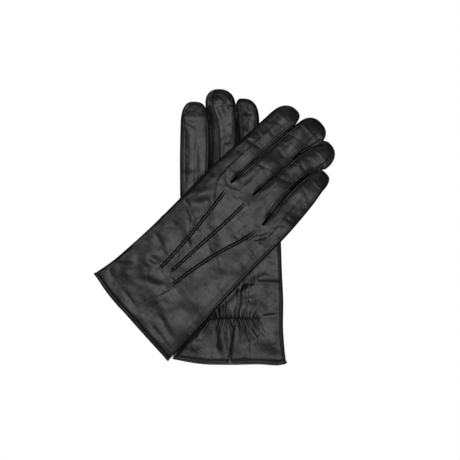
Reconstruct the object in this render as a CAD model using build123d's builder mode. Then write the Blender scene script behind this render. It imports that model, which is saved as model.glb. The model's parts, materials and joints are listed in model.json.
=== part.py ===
"""A pair of lined leather dress gloves, one laid across the other.

The left glove lies flat with its palm up. The right glove lies over it with its back up, turned
CROSS_ANGLE clockwise, so the two cross at their palms. Each glove is drawn in its own plane: +Y runs
from the cuff to the fingertips, -X is the index side and +X is the little-finger side.
The frame's origin is on the resting plane, below the point where the two centre lines cross.
"""

from build123d import *
import os
from math import radians, sin

# --- driving dimensions, in millimetres and degrees --------------------------------------------

THICK = 12.5  # a lined glove lying flat
EDGE_R = 5.8  # rounding of the folded edges
LEATHER = 1.0
ROOM = 0.8  # between leather and lining, where the hem and the elastic lie
LINING = 0.8
FIT = 0.05  # clearance between layers that are sewn together
SEAM = 0.1  # gap along a seam between two leather pieces

CUFF_HALF = 53.0
WRIST_HALF = 49.5
PALM_HALF = 48.0
KNUCKLE_HALF = 47.25
WRIST_Y = 35.0
PALM_Y = 90.0
KNUCKLE_Y = 150.0
HAND_END_Y = 148.0  # the crotches between the fingers
OVERRUN = 20.0  # forms are drawn this much too long and then cut square
FAR = 300.0  # beyond everything

CROSS_ANGLE = 45.5
LEFT_CROSS_Y = 132.7  # distance from the left cuff edge to the crossing point
RIGHT_CROSS_Y = 127.3

# name: x of the knuckle, y of the knuckle, y of the tip, width, lean towards the little finger
FINGERS = {
    "index": (-35.7, 158.0, 244.0, 22.5, 2.0),
    "middle": (-12.8, 165.0, 253.0, 22.5, 2.0),
    "ring": (10.6, 165.0, 245.0, 22.0, 2.0),
    "little": (35.0, 152.0, 222.0, 20.0, -1.0),
}
FINGER_BACK = 6.0  # how far a finger's form runs back into the hand
STEPS = (-60.0, -24.3, -1.0, 23.3, 60.0)  # x between the fingers, where the hand's end steps
RIGHT_DROOP = {"index": 7.0, "middle": 9.5, "ring": 13.0, "little": 15.0}
LEFT_BEND_Y = {"index": 192.0, "middle": 210.0, "ring": 228.0}  # joints the right glove leaves free

CUFF_Y = 48.0  # the right cuff bends here
CUFF_DROOP = 10.0
CUFF_GAP = 3.0

THUMB_THICK = 6.6
THUMB_EDGE_R = 3.0
THUMB_WIDTH = 25.0
THUMB_REACH = 45.0  # from the thumb's base centre to the centre of its round tip
THUMB_HOLE_R = 9.0
RIGHT_THUMB = (-33.0, 85.0, 0.0)  # x, y and lean of the base
LEFT_THUMB = (-31.0, 80.0, 38.0)
LAYER_GAP = 0.3

GUSSET_HALF = 3.1  # half height of the strips between the fingers
POINT_LINES = (
    ((-14.5, 53.0), (-22.5, 140.0)),
    ((-4.5, 57.0), (-1.5, 144.0)),
    ((5.5, 52.0), (23.0, 132.0)),
)
POINT_WIDTH = 0.8
THREAD_DEPTH = 0.45
HEM_DEPTH = 12.0
HEM_STITCH_Y = 4.5
STITCH_PITCH = 3.5
STITCH_LENGTH = 2.6
STITCH_WIDTH = 0.5
STITCHES = 26
OUTSEAM_END_Y = 142.0
LINING_START = 2.0
GATHER_Y = 42.0
GATHER_HALF = 24.0
GATHER_X = 3.0
ELASTIC_WIDTH = 5.0
ELASTIC_THICK = 0.6
VENT_TOP_Y = 38.0
VENT_PROFILE = ((-1.5, -1.0), (5.0, -1.0), (0.4, VENT_TOP_Y), (-0.4, VENT_TOP_Y))

LINING_OUT = LEATHER + ROOM
LINING_IN = LINING_OUT + LINING
RIGHT_Z = THICK + THUMB_THICK + 2 * LAYER_GAP  # underside of the right glove's hand

LEFT_PLANE = Plane(origin=(0, -LEFT_CROSS_Y, 0))
CROSSING = Plane(origin=(0, 0, RIGHT_Z)).rotated((0, 0, -CROSS_ANGLE))
RIGHT_PLANE = Plane(
    origin=CROSSING.from_local_coords((0, -RIGHT_CROSS_Y, 0)), x_dir=CROSSING.x_dir, z_dir=CROSSING.z_dir
)


# --- planes ------------------------------------------------------------------------------------


def place_plane(glove, x, y, z, lean, pitch):
    """A plane in the glove at (x, y, z), leaned about its normal, then pitched about its own x axis."""
    local = Plane(origin=(x, y, z)).rotated((pitch, 0, -lean), ordering=Extrinsic.XYZ)
    return Plane(glove.location * local.location)


def finger_plane(glove, name, droop=0.0):
    """The underside of a finger at its knuckle, swung down about its upper face by droop degrees."""
    x, y, _, _, lean = FINGERS[name]
    hinge = place_plane(glove, x, y, THICK, lean, -droop)
    return hinge.offset(-THICK)


def finger_length(name):
    _, knuckle_y, tip_y, _, _ = FINGERS[name]
    return tip_y - knuckle_y


# --- filled forms, pulled in by inset all round ------------------------------------------------


def rounded_slot(plan, plane, inset, thick, edge_r):
    """A slot-shaped plan extruded to a thickness, with every edge of its two faces rounded."""
    with BuildPart() as form:
        add(plan)
        extrude(amount=thick - 2 * inset)
        across = Axis(plane.origin, plane.z_dir)
        fillet(form.edges().filter_by(across, reverse=True), radius=edge_r - inset)
    return form.part


def hand_form(plane, inset=0.0):
    """The hand from beyond the cuff edge to beyond the knuckles."""
    side = (
        (CUFF_HALF + 3.0 - inset, -OVERRUN),
        (CUFF_HALF - inset, 0),
        (WRIST_HALF - inset, WRIST_Y),
        (PALM_HALF - inset, PALM_Y),
        (KNUCKLE_HALF - inset, KNUCKLE_Y),
        (KNUCKLE_HALF - inset, KNUCKLE_Y + OVERRUN),
    )
    with BuildSketch(plane.offset(inset)) as plan:
        with BuildLine():
            right = Spline(*side)
            left = Spline(*[(-x, y) for x, y in side])
            Line(right @ 0, left @ 0)
            Line(right @ 1, left @ 1)
        make_face()
    with BuildPart() as form:
        add(plan.sketch)
        extrude(amount=THICK - 2 * inset)
        fillet(form.edges().filter_by(GeomType.BSPLINE), radius=EDGE_R - inset)
    return form.part


def finger_form(plane, name, inset=0.0):
    """A finger with a round tip, cut square where it is well inside the end of the hand."""
    _, knuckle_y, _, width, _ = FINGERS[name]
    length = finger_length(name)
    back = knuckle_y - HAND_END_Y + FINGER_BACK
    reach = back + OVERRUN
    with BuildSketch(plane.offset(inset)) as plan:
        with Locations((0, (length - reach) / 2)):
            SlotOverall(length + reach - 2 * inset, width - 2 * inset, rotation=90)
    with BuildPart() as form:
        add(rounded_slot(plan.sketch, plane, inset, THICK, EDGE_R))
        add(block(plane, -FAR, FAR, -back, FAR), mode=Mode.INTERSECT)
    return form.part


def thumb_form(plane, inset=0.0):
    """The thumb, pressed flat against the palm, with a round base about its turning axis."""
    with BuildSketch(plane.offset(inset)) as plan:
        with Locations((0, THUMB_REACH / 2)):
            SlotCenterToCenter(THUMB_REACH, THUMB_WIDTH - 2 * inset, rotation=90)
    return rounded_slot(plan.sketch, plane, inset, THUMB_THICK, THUMB_EDGE_R)


def block(plane, x0, x1, y0, y1, z0=-OVERRUN, z1=THICK + OVERRUN):
    """A box between two corners of a plane's own coordinates."""
    with BuildPart() as cutter:
        with BuildSketch(plane.offset(z0)):
            with Locations(((x0 + x1) / 2, (y0 + y1) / 2)):
                Rectangle(x1 - x0, y1 - y0)
        extrude(amount=z1 - z0)
    return cutter.part


# --- a finger's three pieces -------------------------------------------------------------------


def gusset_blocks(plane, name, start, grow=0.0):
    """The bands along a finger's sides where the strips between the fingers are let in."""
    half = FINGERS[name][3] / 2
    stop = finger_length(name) - half + grow
    low, high = THICK / 2 - GUSSET_HALF - grow, THICK / 2 + GUSSET_HALF + grow
    bands = []
    if name != "little":
        bands.append(block(plane, half - 3, half + 1, start, stop, low, high))
    if name != "index":
        bands.append(block(plane, -half - 1, 3 - half, start, stop, low, high))
    return bands


def finger_sheath(plane, name, start):
    """The finger's share of the trank: leather on the upper and lower face, closed at the tip."""
    with BuildPart() as sheath:
        add(finger_form(plane, name))
        add(finger_form(plane, name, LEATHER), mode=Mode.SUBTRACT)
        add(block(plane, -FAR, FAR, start, FAR), mode=Mode.INTERSECT)
        add(gusset_blocks(plane, name, start - 1, SEAM), mode=Mode.SUBTRACT)
    return sheath.part


def finger_gussets(plane, name, start):
    """The leather strips let into the sides of one finger."""
    with BuildPart() as strips:
        add(gusset_blocks(plane, name, start))
        add(finger_form(plane, name), mode=Mode.INTERSECT)
        add(finger_form(plane, name, LEATHER), mode=Mode.SUBTRACT)
    return strips.part


def finger_lining(plane, name, start):
    with BuildPart() as lining:
        add(finger_form(plane, name, LINING_OUT))
        add(finger_form(plane, name, LINING_IN), mode=Mode.SUBTRACT)
        add(block(plane, -FAR, FAR, start, FAR), mode=Mode.INTERSECT)
    return lining.part


# --- details sunk into the hand's leather ------------------------------------------------------


def face_slab(plane, face_z, depth):
    """The plane and signed height that reach from one flat face of a glove into its leather."""
    return (plane.offset(face_z), -depth if face_z > 0 else depth)


def point_threads(plane, back_z, grow=0.0):
    """The three raised lines of stitching down the back."""
    start_plane, depth = face_slab(plane, back_z, THREAD_DEPTH + grow)
    with BuildPart() as threads:
        for start, end in POINT_LINES:
            with BuildSketch(start_plane):
                with BuildLine():
                    Line(start, end)
                trace(line_width=POINT_WIDTH + 2 * grow)
            extrude(amount=depth)
    return threads.part


def gather_thread(plane, palm_z, grow=0.0):
    """The row of stitches that gathers the palm side of the wrist."""
    start_plane, depth = face_slab(plane, palm_z, THREAD_DEPTH + grow)
    with BuildPart() as thread:
        with BuildSketch(start_plane):
            with Locations((GATHER_X, GATHER_Y)):
                Rectangle(2 * (GATHER_HALF + grow), STITCH_WIDTH + 2 * grow)
        extrude(amount=depth)
    return thread.part


def outseam(plane, y0, y1, grow=0.0):
    """The seam along the little-finger side, at half thickness."""
    half = STITCH_WIDTH / 2 + grow
    band = block(plane, 0, FAR, y0 - grow, y1 + grow, THICK / 2 - half, THICK / 2 + half)
    with BuildPart() as seam:
        add(hand_form(plane))
        add(hand_form(plane, THREAD_DEPTH + grow), mode=Mode.SUBTRACT)
        add(band, mode=Mode.INTERSECT)
    return seam.part


def hem_stitches(plane):
    with BuildPart() as stitches:
        with BuildSketch(plane):
            with Locations((0, HEM_STITCH_Y)):
                with GridLocations(STITCH_PITCH, 1, STITCHES, 1):
                    Rectangle(STITCH_LENGTH, STITCH_WIDTH)
        extrude(amount=THICK)
        add(hand_form(plane, THREAD_DEPTH), mode=Mode.SUBTRACT)
    return stitches.part


def hem_groove(plane):
    """A channel all round the cuff that holds the hem stitches just below the surface."""
    half = STITCH_WIDTH / 2 + FIT
    with BuildPart() as groove:
        add(block(plane, -FAR, FAR, HEM_STITCH_Y - half, HEM_STITCH_Y + half))
        add(hand_form(plane, THREAD_DEPTH + FIT), mode=Mode.SUBTRACT)
    return groove.part


def vent(plane, palm_z):
    """The open V in the palm side of the cuff."""
    start_plane, depth = face_slab(plane, palm_z, THICK / 2)
    with BuildPart() as notch:
        with BuildSketch(start_plane):
            Polygon(*VENT_PROFILE, align=None)
        extrude(amount=depth)
    return notch.part


def thumb_hole(plane, palm_z, base):
    """The round opening on the palm side where the thumb is set in."""
    start_plane, depth = face_slab(plane, palm_z, THICK / 2)
    with BuildPart() as hole:
        with BuildSketch(start_plane):
            with Locations(base[:2]):
                Circle(THUMB_HOLE_R)
        extrude(amount=depth)
    return hole.part


# --- cuff pieces, the same for both gloves -----------------------------------------------------


def cuff_hem(plane, palm_z):
    """The leather turned back inside the cuff edge."""
    with BuildPart() as hem:
        add(hand_form(plane, LEATHER + FIT))
        add(hand_form(plane, LINING_OUT - FIT), mode=Mode.SUBTRACT)
        add(block(plane, -FAR, FAR, 0, HEM_DEPTH), mode=Mode.INTERSECT)
        add(vent(plane, palm_z), mode=Mode.SUBTRACT)
    return hem.part


def wrist_elastic(plane, palm_z):
    """The flat elastic sewn between the leather and the lining."""
    side = 1 if palm_z > 0 else -1
    start_plane = plane.offset(palm_z - side * (LEATHER + (ROOM + ELASTIC_THICK) / 2))
    with BuildPart() as band:
        with BuildSketch(start_plane):
            with Locations((GATHER_X, GATHER_Y)):
                Rectangle(2 * GATHER_HALF + 4, ELASTIC_WIDTH)
        extrude(amount=side * ELASTIC_THICK)
    return band.part


def save(name, part):
    """Writes one sub-part as a STEP file named after its node."""
    part.label = name
    export_step(part, f"parts/{name}.step")


def save_cuff_details(side, plane, palm_z):
    save(f"{side}_cuff_hem", cuff_hem(plane, palm_z))
    save(f"{side}_hem_stitches", hem_stitches(plane))
    save(f"{side}_wrist_elastic", wrist_elastic(plane, palm_z))
    save(f"{side}_gather_thread", gather_thread(plane, palm_z))


def save_thumb(side, plane):
    with BuildPart() as sheath:
        add(thumb_form(plane))
        add(thumb_form(plane, LEATHER), mode=Mode.SUBTRACT)
    save(f"{side}_thumb_sheath", sheath.part)
    with BuildPart() as lining:
        add(thumb_form(plane, LINING_OUT))
        add(thumb_form(plane, LINING_IN), mode=Mode.SUBTRACT)
    save(f"{side}_thumb_lining", lining.part)


os.makedirs("parts", exist_ok=True)


# --- left glove: palm up, hand, cuff and trapped fingers in one piece of leather -----------------

left_fingers = {name: finger_plane(LEFT_PLANE, name) for name in FINGERS}
left_starts = {name: LEFT_BEND_Y[name] - FINGERS[name][1] for name in LEFT_BEND_Y}


def left_form(inset=0.0):
    """The whole left glove, filled, cut square at the cuff and at each free finger joint."""
    with BuildPart() as form:
        add(hand_form(LEFT_PLANE, inset))
        add(block(LEFT_PLANE, -FAR, FAR, -OVERRUN, HAND_END_Y - inset), mode=Mode.INTERSECT)
        for name, plane in left_fingers.items():
            add(finger_form(plane, name, inset))
        for name, start in left_starts.items():
            reach = FINGERS[name][3] / 2 + 0.2
            add(block(left_fingers[name], -reach, reach, start - LAYER_GAP, FAR), mode=Mode.SUBTRACT)
    return form.part


def held_gussets(plane, name):
    """The strips along the part of a left finger that lies behind its joint."""
    with BuildPart() as strips:
        add(finger_gussets(plane, name, SEAM))
        add(block(plane, -FAR, FAR, 0, left_starts.get(name, FAR) - LAYER_GAP), mode=Mode.INTERSECT)
    return strips.part


with BuildPart() as left_trank:
    add(left_form())
    add(left_form(LEATHER), mode=Mode.SUBTRACT)
    add(block(LEFT_PLANE, -FAR, FAR, 0, FAR), mode=Mode.INTERSECT)
    for name, plane in left_fingers.items():
        add(gusset_blocks(plane, name, 0, SEAM), mode=Mode.SUBTRACT)
    add(vent(LEFT_PLANE, THICK), mode=Mode.SUBTRACT)
    add(thumb_hole(LEFT_PLANE, THICK, LEFT_THUMB), mode=Mode.SUBTRACT)
    add(point_threads(LEFT_PLANE, 0, FIT), mode=Mode.SUBTRACT)
    add(gather_thread(LEFT_PLANE, THICK, FIT), mode=Mode.SUBTRACT)
    add(outseam(LEFT_PLANE, HEM_DEPTH, OUTSEAM_END_Y, FIT), mode=Mode.SUBTRACT)
    add(hem_groove(LEFT_PLANE), mode=Mode.SUBTRACT)
save("left_trank", left_trank.part)

with BuildPart() as left_lining:
    add(left_form(LINING_OUT))
    add(left_form(LINING_IN), mode=Mode.SUBTRACT)
    add(block(LEFT_PLANE, -FAR, FAR, LINING_START, FAR), mode=Mode.INTERSECT)
    add(vent(LEFT_PLANE, THICK), mode=Mode.SUBTRACT)
    add(thumb_hole(LEFT_PLANE, THICK, LEFT_THUMB), mode=Mode.SUBTRACT)
save("left_lining", left_lining.part)

with BuildPart() as left_fourchettes:
    for name, plane in left_fingers.items():
        add(held_gussets(plane, name))
save("left_fourchettes", left_fourchettes.part)

save("left_back_points", point_threads(LEFT_PLANE, 0))
save("left_outseam_thread", outseam(LEFT_PLANE, HEM_DEPTH, OUTSEAM_END_Y))
save_cuff_details("left", LEFT_PLANE, THICK)

for name, start in left_starts.items():
    save(f"left_{name}_tip_sheath", finger_sheath(left_fingers[name], name, start))
    save(f"left_{name}_tip_fourchettes", finger_gussets(left_fingers[name], name, start))
    save(f"left_{name}_tip_lining", finger_lining(left_fingers[name], name, start))

thumb_x, thumb_y, thumb_lean = LEFT_THUMB
save_thumb("left", place_plane(LEFT_PLANE, thumb_x, thumb_y, THICK + LAYER_GAP, thumb_lean, 0))


# --- right glove: back up, with a drooping cuff and drooping fingers -----------------------------


def right_hand_ends():
    """What lies beyond the hand: the cuff below, and a step at each finger's knuckle."""
    ends = [block(RIGHT_PLANE, -FAR, FAR, -FAR, CUFF_Y + LAYER_GAP)]
    for x0, x1, name in zip(STEPS, STEPS[1:], FINGERS):
        gap = THICK * sin(radians(RIGHT_DROOP[name])) + 0.5
        ends.append(block(RIGHT_PLANE, x0, x1, FINGERS[name][1] - gap, FAR))
    return ends


def right_hand_tube(outer, inner):
    with BuildPart() as tube:
        add(hand_form(RIGHT_PLANE, outer))
        add(hand_form(RIGHT_PLANE, inner), mode=Mode.SUBTRACT)
        add(right_hand_ends(), mode=Mode.SUBTRACT)
        add(thumb_hole(RIGHT_PLANE, 0, RIGHT_THUMB), mode=Mode.SUBTRACT)
    return tube.part


with BuildPart() as right_trank:
    add(right_hand_tube(0, LEATHER))
    add(point_threads(RIGHT_PLANE, THICK, FIT), mode=Mode.SUBTRACT)
    add(outseam(RIGHT_PLANE, CUFF_Y + 2, OUTSEAM_END_Y, FIT), mode=Mode.SUBTRACT)
save("right_trank", right_trank.part)
save("right_hand_lining", right_hand_tube(LINING_OUT, LINING_IN))
save("right_back_points", point_threads(RIGHT_PLANE, THICK))
save("right_outseam_thread", outseam(RIGHT_PLANE, CUFF_Y + 2, OUTSEAM_END_Y))

for name in FINGERS:
    plane = finger_plane(RIGHT_PLANE, name, RIGHT_DROOP[name])
    save(f"right_{name}_sheath", finger_sheath(plane, name, 0))
    save(f"right_{name}_fourchettes", finger_gussets(plane, name, 0))
    save(f"right_{name}_lining", finger_lining(plane, name, 0))

thumb_x, thumb_y, thumb_lean = RIGHT_THUMB
save_thumb("right", place_plane(RIGHT_PLANE, thumb_x, thumb_y, -THUMB_THICK - LAYER_GAP, thumb_lean, 0))

cuff_hinge = place_plane(RIGHT_PLANE, 0, CUFF_Y, THICK, 0, CUFF_DROOP)
CUFF_PLANE = Plane(
    origin=cuff_hinge.from_local_coords((0, -CUFF_Y, -THICK)), x_dir=cuff_hinge.x_dir, z_dir=cuff_hinge.z_dir
)

with BuildPart() as right_cuff:
    add(hand_form(CUFF_PLANE))
    add(hand_form(CUFF_PLANE, LEATHER), mode=Mode.SUBTRACT)
    add(block(CUFF_PLANE, -FAR, FAR, 0, CUFF_Y - CUFF_GAP), mode=Mode.INTERSECT)
    add(vent(CUFF_PLANE, 0), mode=Mode.SUBTRACT)
    add(gather_thread(CUFF_PLANE, 0, FIT), mode=Mode.SUBTRACT)
    add(hem_groove(CUFF_PLANE), mode=Mode.SUBTRACT)
save("right_cuff", right_cuff.part)

with BuildPart() as right_cuff_lining:
    add(hand_form(CUFF_PLANE, LINING_OUT))
    add(hand_form(CUFF_PLANE, LINING_IN), mode=Mode.SUBTRACT)
    add(block(CUFF_PLANE, -FAR, FAR, LINING_START, CUFF_Y - CUFF_GAP), mode=Mode.INTERSECT)
    add(vent(CUFF_PLANE, 0), mode=Mode.SUBTRACT)
save("right_cuff_lining", right_cuff_lining.part)

save_cuff_details("right", CUFF_PLANE, 0)
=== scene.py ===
"""A pair of black leather dress gloves: the right one, back up, lies across the left one, palm up.

Each glove is shaped in its own flat coordinates, in millimetres: +y runs from the cuff to the fingertips, -x
is the index side, and z is the height above the surface it lies on. It is then bent, placed in the frame and
cut into its pieces along the joints and the seams.
"""

from math import cos, pi, radians, sin

import bpy
import numpy as np
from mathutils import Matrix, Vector
from mathutils.kdtree import KDTree
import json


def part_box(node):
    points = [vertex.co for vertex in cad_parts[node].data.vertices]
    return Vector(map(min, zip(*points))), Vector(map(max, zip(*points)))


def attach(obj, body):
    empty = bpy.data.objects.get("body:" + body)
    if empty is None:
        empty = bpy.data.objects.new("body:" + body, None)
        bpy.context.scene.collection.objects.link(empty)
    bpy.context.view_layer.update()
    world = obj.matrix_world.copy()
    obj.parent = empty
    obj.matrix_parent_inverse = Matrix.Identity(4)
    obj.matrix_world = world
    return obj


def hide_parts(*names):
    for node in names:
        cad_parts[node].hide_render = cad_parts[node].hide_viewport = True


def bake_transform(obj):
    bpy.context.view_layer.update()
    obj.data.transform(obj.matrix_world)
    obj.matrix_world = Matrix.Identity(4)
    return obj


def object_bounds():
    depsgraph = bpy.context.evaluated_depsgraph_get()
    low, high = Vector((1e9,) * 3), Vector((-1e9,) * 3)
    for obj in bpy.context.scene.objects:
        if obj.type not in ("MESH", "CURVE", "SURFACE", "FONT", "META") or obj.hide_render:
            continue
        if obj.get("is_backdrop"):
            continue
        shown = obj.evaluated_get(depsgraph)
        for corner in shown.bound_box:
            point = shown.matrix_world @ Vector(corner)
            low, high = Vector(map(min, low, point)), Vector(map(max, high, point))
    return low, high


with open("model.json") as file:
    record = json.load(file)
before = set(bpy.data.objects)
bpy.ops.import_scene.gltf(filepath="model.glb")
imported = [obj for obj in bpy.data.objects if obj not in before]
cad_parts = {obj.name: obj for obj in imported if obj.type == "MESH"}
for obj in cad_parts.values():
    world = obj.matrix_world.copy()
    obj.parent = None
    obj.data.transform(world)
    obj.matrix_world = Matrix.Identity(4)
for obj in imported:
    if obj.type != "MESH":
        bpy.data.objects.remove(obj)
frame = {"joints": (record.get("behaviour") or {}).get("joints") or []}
cad_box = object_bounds()
JOINTS = {joint["name"]: joint for joint in frame["joints"]}

MM = 0.001

# --- sizes, in millimetres ---------------------------------------------------------------------

LEATHER = 0.9  # thickness
HEM_DEPTH = 12.0  # how far the hem reaches up inside
HEM_ROW = 1.6  # how far from the edge the hem's row of stitches runs
FLOOR_GAP = 0.2  # the lower sheet's height above what it rests on
LOW = dict(edge_r=4.4, edge_h=3.9, dome_r=9.8, dome_h=1.5)  # lower sheet, below the mid-plane
HIGH = dict(edge_r=4.6, edge_h=4.0, dome_r=10.2, dome_h=1.6)  # upper sheet, above the mid-plane
DOME_SHARE = {"right": 1.0, "left": 0.55}  # how much of its dome each glove's upper and lower sheets keep
CROWN_R, CROWN_H = 34.0, 1.8  # the wide swell of the upper sheet over the hand
MID_Z = FLOOR_GAP + LOW["edge_h"] + LOW["dome_h"]  # the height of the folds along a full glove's sides
CUFF_FOLD_Y = 48.0  # the line on which the right cuff folds
CUFF_SPLIT_Y = 51.0  # where the pieces of the right cuff start
GATHER_Y = 41.5  # the row of stitches that gathers the wrist
GATHER_X = (-20.0, 26.0)
GATHER_PITCH = 2.75
VENT_TOP = 37.5


# --- small maths -------------------------------------------------------------------------------


def curve(*points):
    """A smooth function through (position, value) points, flat beyond its two ends."""
    at, value = np.array(sorted(points), float).T
    slope = np.gradient(value, at)

    def f(t):
        t = np.clip(t, at[0], at[-1])
        i = np.clip(np.searchsorted(at, t) - 1, 0, len(at) - 2)
        step = at[i + 1] - at[i]
        u = (t - at[i]) / step
        rise = (1 + 2 * u) * (1 - u) ** 2 * value[i] + u * u * (3 - 2 * u) * value[i + 1]
        return rise + step * (u * (1 - u) ** 2 * slope[i] + u * u * (u - 1) * slope[i + 1])

    return f


def ramp(t, start, end):
    """0 before start, 1 after end, smooth between."""
    u = np.clip((t - start) / (end - start), 0, 1)
    return u * u * (3 - 2 * u)


def bell(t, width):
    """1 at zero, falling smoothly to almost nothing at twice the width."""
    return np.exp(-((t / width) ** 2))


def mottle(seed, longest, shortest, waves=28):
    """Smooth random undulation of unit height whose wavelengths lie between two lengths."""
    random = np.random.default_rng(seed)
    length = np.exp(random.uniform(np.log(shortest), np.log(longest), waves))
    angle = random.uniform(0, 2 * pi, waves)
    phase = random.uniform(0, 2 * pi, waves)
    kx, ky = 2 * pi * np.cos(angle) / length, 2 * pi * np.sin(angle) / length

    def f(x, y):
        return sum(np.cos(kx[i] * x + ky[i] * y + phase[i]) for i in range(waves)) / np.sqrt(waves)

    return f


# --- shapes of the two gloves ------------------------------------------------------------------

PRESS, PRESS_RAMP = 0.4, 12.0  # how far a finger swells against its neighbour, and how soon after its root


class Finger:
    """One finger's outline and seams. What comes in pairs is for its left side, then its right one.

    left, right: (y, x) points up each side; caps: where each side starts to round; tip: the far end's (x, y);
    seams: how far in each seam runs, at the root and at the tip; powers: how square each side of the tip is;
    ridges: whether each seam is raised; pressed: whether each side has a neighbour; seam_line: x of the right
    seam at y, where it doesn't follow its side.
    """

    def __init__(self, name, left, right, caps, tip, seams, powers=(2.3, 2.3), ridges=(1, 1), pressed=(1, 1),
                 seam_line=None):
        self.name, self.seam_line = name, seam_line
        self.left, self.right = curve(*left), curve(*right)
        self.left_root, self.right_root = left[0], right[0]
        self.caps, self.tip, self.seams = caps, tip, seams
        self.powers, self.ridges, self.pressed = powers, ridges, pressed

    def side(self, pick, y):
        """x of the left (0) or right (1) side at y. Fingers swell a little against their neighbours."""
        edge, root = ((self.left, self.left_root), (self.right, self.right_root))[pick]
        cap = self.caps[pick]
        press = PRESS * self.pressed[pick] * ramp(y, root[0], root[0] + PRESS_RAMP)
        full = edge(np.minimum(y, self.tip[1])) + (press if pick else -press)
        power = self.powers[pick]
        reach = np.clip((y - cap) / (self.tip[1] - cap), 0, 1)
        return self.tip[0] + (full - self.tip[0]) * (1 - reach**power) ** (1 / power)


GAP_A = ((154, -24.6), (175, -24.0), (200, -23.2), (215, -22.6))
GAP_B = ((160.5, -2.0), (175, -1.2), (200, -0.3), (215, 0.7))
GAP_C = ((147.5, 24.0), (165, 20.5), (180, 19.2), (200, 19.0))

RIGHT = dict(
    side="right",
    left_edge=curve((0, -54), (22, -50), (50, -48), (150, -48)),
    right_edge=curve((-4, 52.5), (40, 51), (75, 49), (100, 48), (143, 47.2)),
    cuff_low=curve((-54, 3), (-30, -1.2), (0, -2.8), (30, -4.2), (52, -5)),
    cuff_step=1.2,
    knuckles=((150, -48), (154, -24.6), (160.5, -2.0), (147.5, 24.0), (143, 47.2)),
    back_lines=(
        curve((0, -15), (52, -14), (140, -22.3), (154, -24.6)),
        curve((0, -4.5), (57, -4.4), (145, -1.6), (160.5, -2)),
        curve((0, 5.5), (50, 5.4), (90, 11.5), (133, 22.6), (147.5, 24)),
    ),
    palm_lines=(curve((0, -24), (154, -24.6)), curve((0, 0), (160.5, -2)), curve((0, 25), (147.5, 24))),
    fingers=(
        Finger("index", ((150, -48), (175, -47), (200, -46), (226, -45.2)), GAP_A + ((232, -21.4),),
               (224, 229), (-29.6, 244.0), ((2.4, 2.4), (1.6, 1.8)), (2.3, 2.7),
               ridges=(0, 1), pressed=(0, 1)),
        Finger("middle", GAP_A + ((238, -20.2),), GAP_B + ((228, 3.6), (238, 8.0)),
               (235, 235), (-6.3, 252.2), ((1.7, 1.9), (1.7, 7.0)), (2.3, 2.6),
               seam_line=curve((168, -2.6), (206, -1.4), (225, -1.0), (236, -1.1), (243, -1.6), (252, -2.6))),
        Finger("ring", GAP_B + ((228, 3.6), (236, 6.2)),
               GAP_C + ((213, 20.6), (219, 23.4), (224, 27.4), (230, 28.3)),
               (236, 228), (14.5, 244.6), ((1.6, 1.9), (2.2, 5.2)),
               seam_line=curve((148, 22.2), (200, 17.4), (212, 18.9), (219, 21.2), (225, 23.2), (232, 23.8),
                               (240, 22.2))),
        Finger("little", GAP_C + ((208, 19.8),),
               ((143, 47.2), (160, 46.6), (175, 45.4), (195, 43.2), (208, 41)),
               (207, 204), (31.5, 222.4), ((2.2, 2.2), (2.0, 2.6)), (2.8, 2.8), pressed=(1, 0)),
    ),
)

GAP_D = ((153, -21.0), (180, -17.8), (200, -17.2), (215, -17.6), (228, -19.2))
GAP_E = ((160, 1.0), (180, 5.5), (200, 7.4), (215, 7.2), (230, 6.2))
GAP_F = ((147, 23.5), (180, 26.2), (203, 27.3))

LEFT = dict(
    side="left",
    left_edge=curve((0, -54), (22, -50.5), (60, -48.5), (150, -46.8)),
    right_edge=curve((-2, 53), (15, 51), (30, 50), (60, 50), (80, 49), (110, 48), (142, 47.5)),
    cuff_low=curve((-54, 3.5), (-30, -1), (0, -2), (30, -1.6), (46, -2.4), (53, -1)),
    cuff_step=1.4,
    knuckles=((150, -46.8), (153, -21.0), (160, 1.0), (147, 23.5), (142, 47.5)),
    back_lines=(
        curve((0, -15), (52, -14), (140, -19.5), (153, -21)),
        curve((0, -4.5), (57, -4.4), (145, 0), (160, 1)),
        curve((0, 5.5), (50, 5.4), (90, 11.5), (133, 22), (147, 23.5)),
    ),
    palm_lines=(curve((0, -24), (153, -21)), curve((0, 0), (60, 0.5), (160, 1)), curve((0, 25), (147, 23.5))),
    fingers=(
        Finger("index", ((150, -46.8), (170, -47), (200, -47), (224, -46.4)), GAP_D + ((238, -22.0),),
               (222, 228), (-35, 244.6), ((3.2, 2.8), (4.2, 2.6)), (2.4, 3.0),
               ridges=(0, 1), pressed=(0, 1)),
        Finger("middle", GAP_D + ((238, -22.4), (244, -22.8)), GAP_E + ((243, 5.0),),
               (243, 239), (-10.5, 256.4), ((7.6, 5.6), (3.0, 3.0))),
        Finger("ring", GAP_E + ((238, 5.2),), GAP_F + ((222, 27.2),),
               (236, 222), (10.5, 247.6), ((4.6, 3.4), (2.6, 2.6)), (2.3, 2.8)),
        Finger("little", GAP_F, ((142, 47.5), (175, 47), (200, 46)),
               (203, 201), (37, 221.5), ((2.4, 2.4), (2.6, 2.6)), pressed=(1, 0)),
    ),
)


# --- relief: everything that stands out of or sinks into a sheet --------------------------------

GROOVE_AT, GROOVE_HALF, CREST_HALF = 1.2, 0.5, 0.74


def ridge(offset, height=0.35, grooves=(1.4, 1.4)):
    """A raised seam with a sharp sunken line on each side, at a signed distance from its centre."""
    depth = np.where(offset < 0, grooves[0], grooves[1])
    crest = height * (1 - np.minimum(np.abs(offset) / CREST_HALF, 1) ** 2.5)
    return crest - depth * np.maximum(1 - np.abs(np.abs(offset) - GROOVE_AT) / GROOVE_HALF, 0)


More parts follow.
